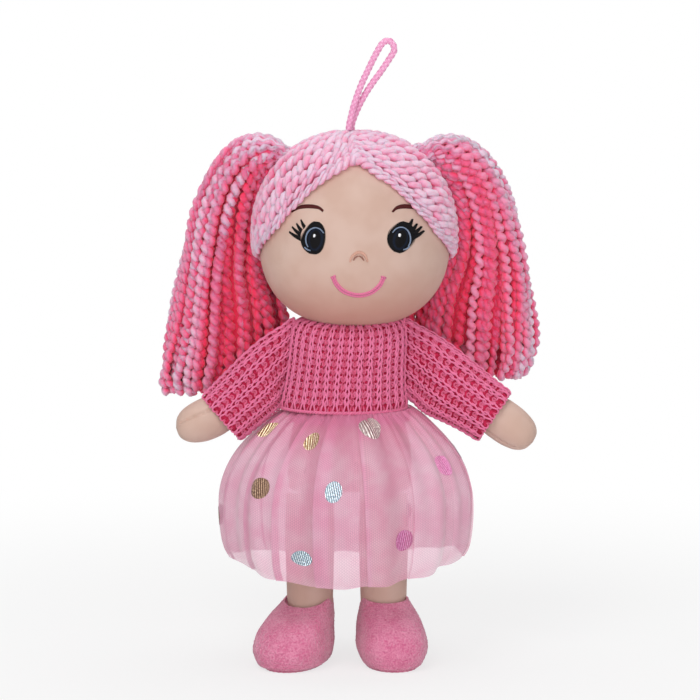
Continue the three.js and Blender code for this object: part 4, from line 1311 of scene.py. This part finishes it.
skirt = {
    "waist": 129.6, "drop": 74.5, "sag": 8.6, "tilt": 0.9, "halfWidth": 31.0, "halfDepth": 25.8, "spread": 31.8,
    "swell": 25, "shift": -1.0, "liningInset": 2.4, "liningDrop": 73.5, "liningWaves": 1.3, "widest": 0.7,
    # ripples round the skirt: gathers under the band, folds below them and broad waves towards the hem
    "gathers": 64, "gatherDepth": 0.8, "gatherReach": 0.11, "folds": 21, "foldDepth": 1.5, "waves": 11,
    # waist to hem: shares of the drop and of the spread
    "rows": [(0.000, 0.00), (0.040, 0.13), (0.100, 0.31), (0.240, 0.64), (0.385, 0.86), (0.540, 0.98),
             (0.700, 1.00), (0.850, 0.97), (0.940, 0.92), (1.000, 0.84)],
    # pleats that fold over: their place round from the back, their width and strength, and how far they wander
    # round by the hem
    "pleats": [(0.533, 0.022, 1.2, 0.0), (0.482, 0.014, 0.9, -0.012), (0.590, 0.014, 1.0, 0.006),
               (0.645, 0.015, 0.9, 0.01), (0.412, 0.013, 0.7, 0.0), (0.290, 0.012, 0.7, 0.0),
               (0.715, 0.012, 0.7, 0.0), (0.10, 0.014, 0.9, 0.02), (0.88, 0.014, 0.9, -0.01)],
    # strips that the net is cut into: where each starts, round from the back over the viewer's right, the leg on its
    # side, which gives it a mesh of its own, and a share of its height, which is not used
    "strips": [(0.285, "right", 0.85), (0.325, "right", 0.65), (0.360, "right", 0.45), (0.392, "right", 0.30),
               (0.436, "right", 0.42), (0.468, "right", 0.60), (0.497, "left", 0.60), (0.526, "left", 0.42),
               (0.558, "left", 0.30), (0.600, "left", 0.45), (0.638, "left", 0.65), (0.675, "left", 0.85),
               (0.715, None, 1.0)],
}


def outerNet(u, v, inset=0.0, wavesOf=0.0):
    # u runs round from the back over the viewer's right to the front, v from the waist to the hem
    fall, spread = throughRows(skirt["rows"], v).T
    around, radial = u + 0.0, 0 * u
    if inset == 0:
        for at, width, strength, wander in skirt["pleats"]:
            x = (u - at - wander * v) / width
            bell = x * np.exp(-x * x) * strength * smoothStep(v, -0.1, 0.15)
            around = around - 2.0 * width * bell
            radial = radial - 2.4 * bell
    turn = tau * around
    gathers = np.cos(skirt["gathers"] * turn + 3 * np.sin(5 * turn) + wavesOf) * skirt["gatherDepth"] \
        * np.exp(-v / skirt["gatherReach"])
    folds = np.cos(skirt["folds"] * turn + 2.4 * np.sin(3 * turn + wavesOf) + 2 * wavesOf) * skirt["foldDepth"] \
        * smoothStep(v, -0.05, 0.15) * (1.05 - 0.85 * v)
    broad = np.cos(skirt["waves"] * turn + 1.9 * np.sin(2 * turn + 0.6 + wavesOf) + wavesOf) \
        * smoothStep(v, 0, 0.4) * (0.5 + 1.4 * v)
    wave = gathers + folds + broad + radial - inset
    x = skirt["shift"] * spread + (skirt["halfWidth"] + spread * skirt["spread"] + wave) * np.sin(turn)
    y = (skirt["halfDepth"] + spread * skirt["swell"] + wave) * np.cos(turn)
    drop = skirt["drop"] if inset == 0 else skirt["liningDrop"]
    z = skirt["waist"] - fall * drop - skirt["sag"] * fall**3 * np.cos(turn) ** 2 \
        + (0.5 * np.cos(17 * turn + wavesOf) + skirt["tilt"] * np.sin(turn)) * fall**4
    return np.stack([x, y, z], -1)


def innerNet(u, v):
    return outerNet(u, v, skirt["liningInset"], skirt["liningWaves"])


dots = {
    "radius": 5.3, "lift": 0.12, "rings": 5, "facets": 26,
    # where the camera sees a dot, its foil, how narrow it looks and the turn of that
    "seen": [(270, 428, "gold", 0.9, 25), (312, 440, "gold", 0.66, 3), (259, 487, "bronze", 1, 0),
             (334, 491, "silver", 0.85, 0), (302, 560, "silver", 0.72, 90), (373, 425, "grey", 1.1, 0),
             (445, 465, "rose", 1.0, 0), (404, 541, "rose", 1, 0)],
    # dots on the sides and the back: shares round and down
    "unseen": [(0.035, 0.28, "silver"), (0.075, 0.72, "gold"), (0.060, 0.47, "rose"), (0.244, 0.38, "silver"),
               (0.752, 0.69, "bronze"), (0.945, 0.82, "rose"), (0.925, 0.40, "gold"), (0.965, 0.63, "grey")],
}


def dotPlaces():
    u, v = sharesOver(np.linspace(0.27, 0.73, 500), np.linspace(0.02, 0.98, 240))
    points = outerNet(u, v)
    seen = seenAt(points)
    found = []
    for x, y, foil, narrow, tilt in dots["seen"]:
        gap = lengths(seen - (x, y))[:, 0]
        near = np.flatnonzero(gap < gap.min() + 0.8)
        best = near[np.argmin(points[near, 1])]
        found.append((u[best], v[best], foil, narrow, math.radians(tilt)))
    return found + [(*dot, 1, 0) for dot in dots["unseen"]]


def addDot(skein, u, v, look, narrow, tilt):
    # a thin round foil that follows the net; narrow where the net folds in on itself
    step = 1e-3
    steps = np.array([-step, step])
    across, along = [np.linalg.norm(np.diff(outerNet(us, vs), axis=0)) / (2 * step)
                     for us, vs in ((u + steps, v + 0 * steps), (u + 0 * steps, v + steps))]
    facets, rings = dots["facets"], dots["rings"]
    turn = turnsOf(facets)
    shares = np.arange(1, rings + 1)[:, None] / rings * dots["radius"]
    du = np.concatenate([[0], (shares * np.cos(turn)).ravel()]) * narrow
    dv = np.concatenate([[0], (shares * np.sin(turn)).ravel()])
    du, dv = du * math.cos(tilt) + dv * math.sin(tilt), dv * math.cos(tilt) - du * math.sin(tilt)
    us, vs = u + du / across, v + dv / along
    out = outFrom(outerNet, us, vs, -1)
    out = out * np.sign((out * (outerNet(us, vs) - [0, 0, 90]) * [1, 1, 0]).sum(1, keepdims=True))
    top = outerNet(us, vs) + out * dots["lift"]
    strand = np.stack([du + 3 * look, dv, 0 * du], -1)
    side, beside = np.arange(facets), (np.arange(facets) + 1) % facets
    fan = np.stack([0 * side, 1 + beside, 1 + side], -1)
    quads = patchFaces(facets, rings, True) + 1
    skein.add(top, [fan, quads], strand, 0.0, look)


def clothRuns(surface):
    # how far round the cut cloth each share round is, and how far down each share down is
    shares, falls = np.linspace(-0.2, 1.4, 9601), np.linspace(0, 1, 401)
    girth = runAlong(surface(shares, 0 * shares + skirt["widest"]))
    down = runAlong(surface(0 * falls + 0.25, falls))
    return lambda u: np.interp(u, shares, girth), lambda v: np.interp(v, falls, down)


def makeSkirt():
    starts = [start for start, _, _ in skirt["strips"]]
    ends = starts[1:] + [starts[0] + 1]
    found = dotPlaces()
    foilNames = list(foils)
    for layer, surface, fine, high in (("outer", outerNet, 1100, 84), ("lining", innerNet, 640, 60)):
        clothX, clothY = clothRuns(surface)
        print("net", layer, "cut", round(clothX(1) - clothX(0)), "by", round(clothY(1)), "mm")
        for number, ((start, legName, keep), end) in enumerate(zip(skirt["strips"], ends)):
            wide = max(4, int((end - start) * fine)) + 1
            u, v = sharesOver(np.linspace(start, end, wide), np.linspace(0, 1, high))
            strand = np.stack([clothX(u), clothY(v), 0 * u], -1)
            hem = 0.62 * smoothStep(v, 0.988, 0.998) + 0.6 * (1 - smoothStep(v, 0.0, 0.22))
            skein = Skein()
            skein.add(surface(u, v), [patchFaces(wide, high, False)], strand, hem)
            looks = [nets[layer]]
            if layer == "outer":
                looks += foils.values()
                for dotU, dotV, foil, narrow, tilt in found:
                    if start <= dotU % 1 < end or start <= dotU + 1 < end:
                        addDot(skein, dotU, dotV, 1 + foilNames.index(foil), narrow, tilt)
            piece = place(skein.piece(f"skirt_{layer}_{number + 1:02d}", *looks), "trunk", "net",
                          f"skirt_net_{layer}")
            (clothX(end) - clothX(start)) * mm
            clothY(1) * mm
            if legName:
                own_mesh(piece)


makeSkirt()

band = {"round": 2.3, "wide": 240, "tall": 12, "inset": 0.3, "swell": 0.2, "crease": 0.25, "creases": 60,
        "inner": (0.955, 0.94, 1)}


def makeBand():
    low, high = boxOf("skirt_waistband")
    u, v = sharesOver(turnsOf(band["wide"]), np.linspace(0, 1, band["tall"]))
    wave = band["swell"] * np.sin(v * math.pi) + band["crease"] * np.cos(u * band["creases"]) - band["inset"]
    x = ((high[0] - low[0]) / 2 + wave) * squared(np.cos(u), band["round"])
    y = ((high[1] - low[1]) / 2 + wave) * squared(np.sin(u), band["round"])
    outer = np.stack([x, y, low[2] + v * (high[2] - low[2])], -1)
    skein = Skein()
    skein.add(np.vstack([outer, outer * band["inner"]]), wallFaces(band["wide"], band["tall"]))
    place(skein.piece("waist_elastic", elastic), "trunk", "elastic", "skirt_waistband")


makeBand()
print("skirt made")


# Floor, light and background

studio = {
    "shadow": 0.72, "world": 0.25, "floor": 0.85, "glow": (0.12, 0.55),
    # name, place and aim in metres, size and watts
    "lamps": [("key", (-0.6, -1.3, 1.7), (0, 0, 0.2), 1.2, 16.5), ("fill", (1.1, -1.6, 0.8), (0, 0, 0.18), 1.4, 6),
              ("front", (0.1, -1.9, 0.5), (0, 0, 0.15), 1.0, 8.5), ("top", (0.1, 0.3, 1.7), (0, 0, 0.2), 1.2, 9)],
}


def shownTo(wire):
    # 1 for rays from the camera, off a gloss or through glass, which see a white studio
    seen, gloss, through = [wire.node("LightPath", {}, {}, output) for output in (0, 3, 6)]
    return seen.most(gloss).most(through)


def makeStage():
    bpy.ops.object.select_all(action="DESELECT")
    bpy.ops.mesh.primitive_circle_add(vertices=96, radius=6, fill_type="NGON", location=(0, 0, 0))
    floor = bpy.context.object
    floor.name = "floor"
    made = bpy.data.materials.new("pale floor")
    made.use_nodes = True
    tree = made.node_tree
    wire = Wire(tree)
    surface = tree.nodes["Principled BSDF"]
    surface.inputs["Base Color"].default_value = (*[studio["floor"]] * 3, 1)
    surface.inputs["Roughness"].default_value = 0.9
    glow = wire.node("Emission", {}, {"Color": (1, 1, 1, 1), "Strength": 1.0})
    away = wire.node("VectorMath", {"operation": "LENGTH"}, {0: wire.where()}, 1).between(*studio["glow"])
    share = away * (1 - studio["shadow"]) + studio["shadow"]
    blend = wire.node("MixShader", {}, {0: shownTo(wire) * share, 1: Wire(tree, surface.outputs[0]), 2: glow})
    tree.links.new(blend.socket, tree.nodes["Material Output"].inputs[0])
    floor.data.materials.append(made)
    world = bpy.data.worlds.new("studio")
    bpy.context.scene.world = world
    world.use_nodes = True
    tree = world.node_tree
    background = tree.nodes["Background"]
    strength = shownTo(Wire(tree)) * (1 - studio["world"]) + studio["world"]
    tree.links.new(strength.socket, background.inputs["Strength"])
    background.inputs["Color"].default_value = (1, 1, 1, 1)
    for name, spot, aim, size, power in studio["lamps"]:
        bpy.ops.object.light_add(type="AREA", location=spot)
        lamp = bpy.context.object
        lamp.name = name
        lamp.data.shape = "DISK"
        lamp.data.size = size
        lamp.data.energy = power
        way = Matrix.Translation(spot).to_translation() - Matrix.Translation(aim).to_translation()
        lamp.rotation_euler = way.to_track_quat("Z", "Y").to_euler()
    bpy.context.scene.view_settings.view_transform = "Standard"


makeStage()
bpy.ops.object.select_all(action="DESELECT")
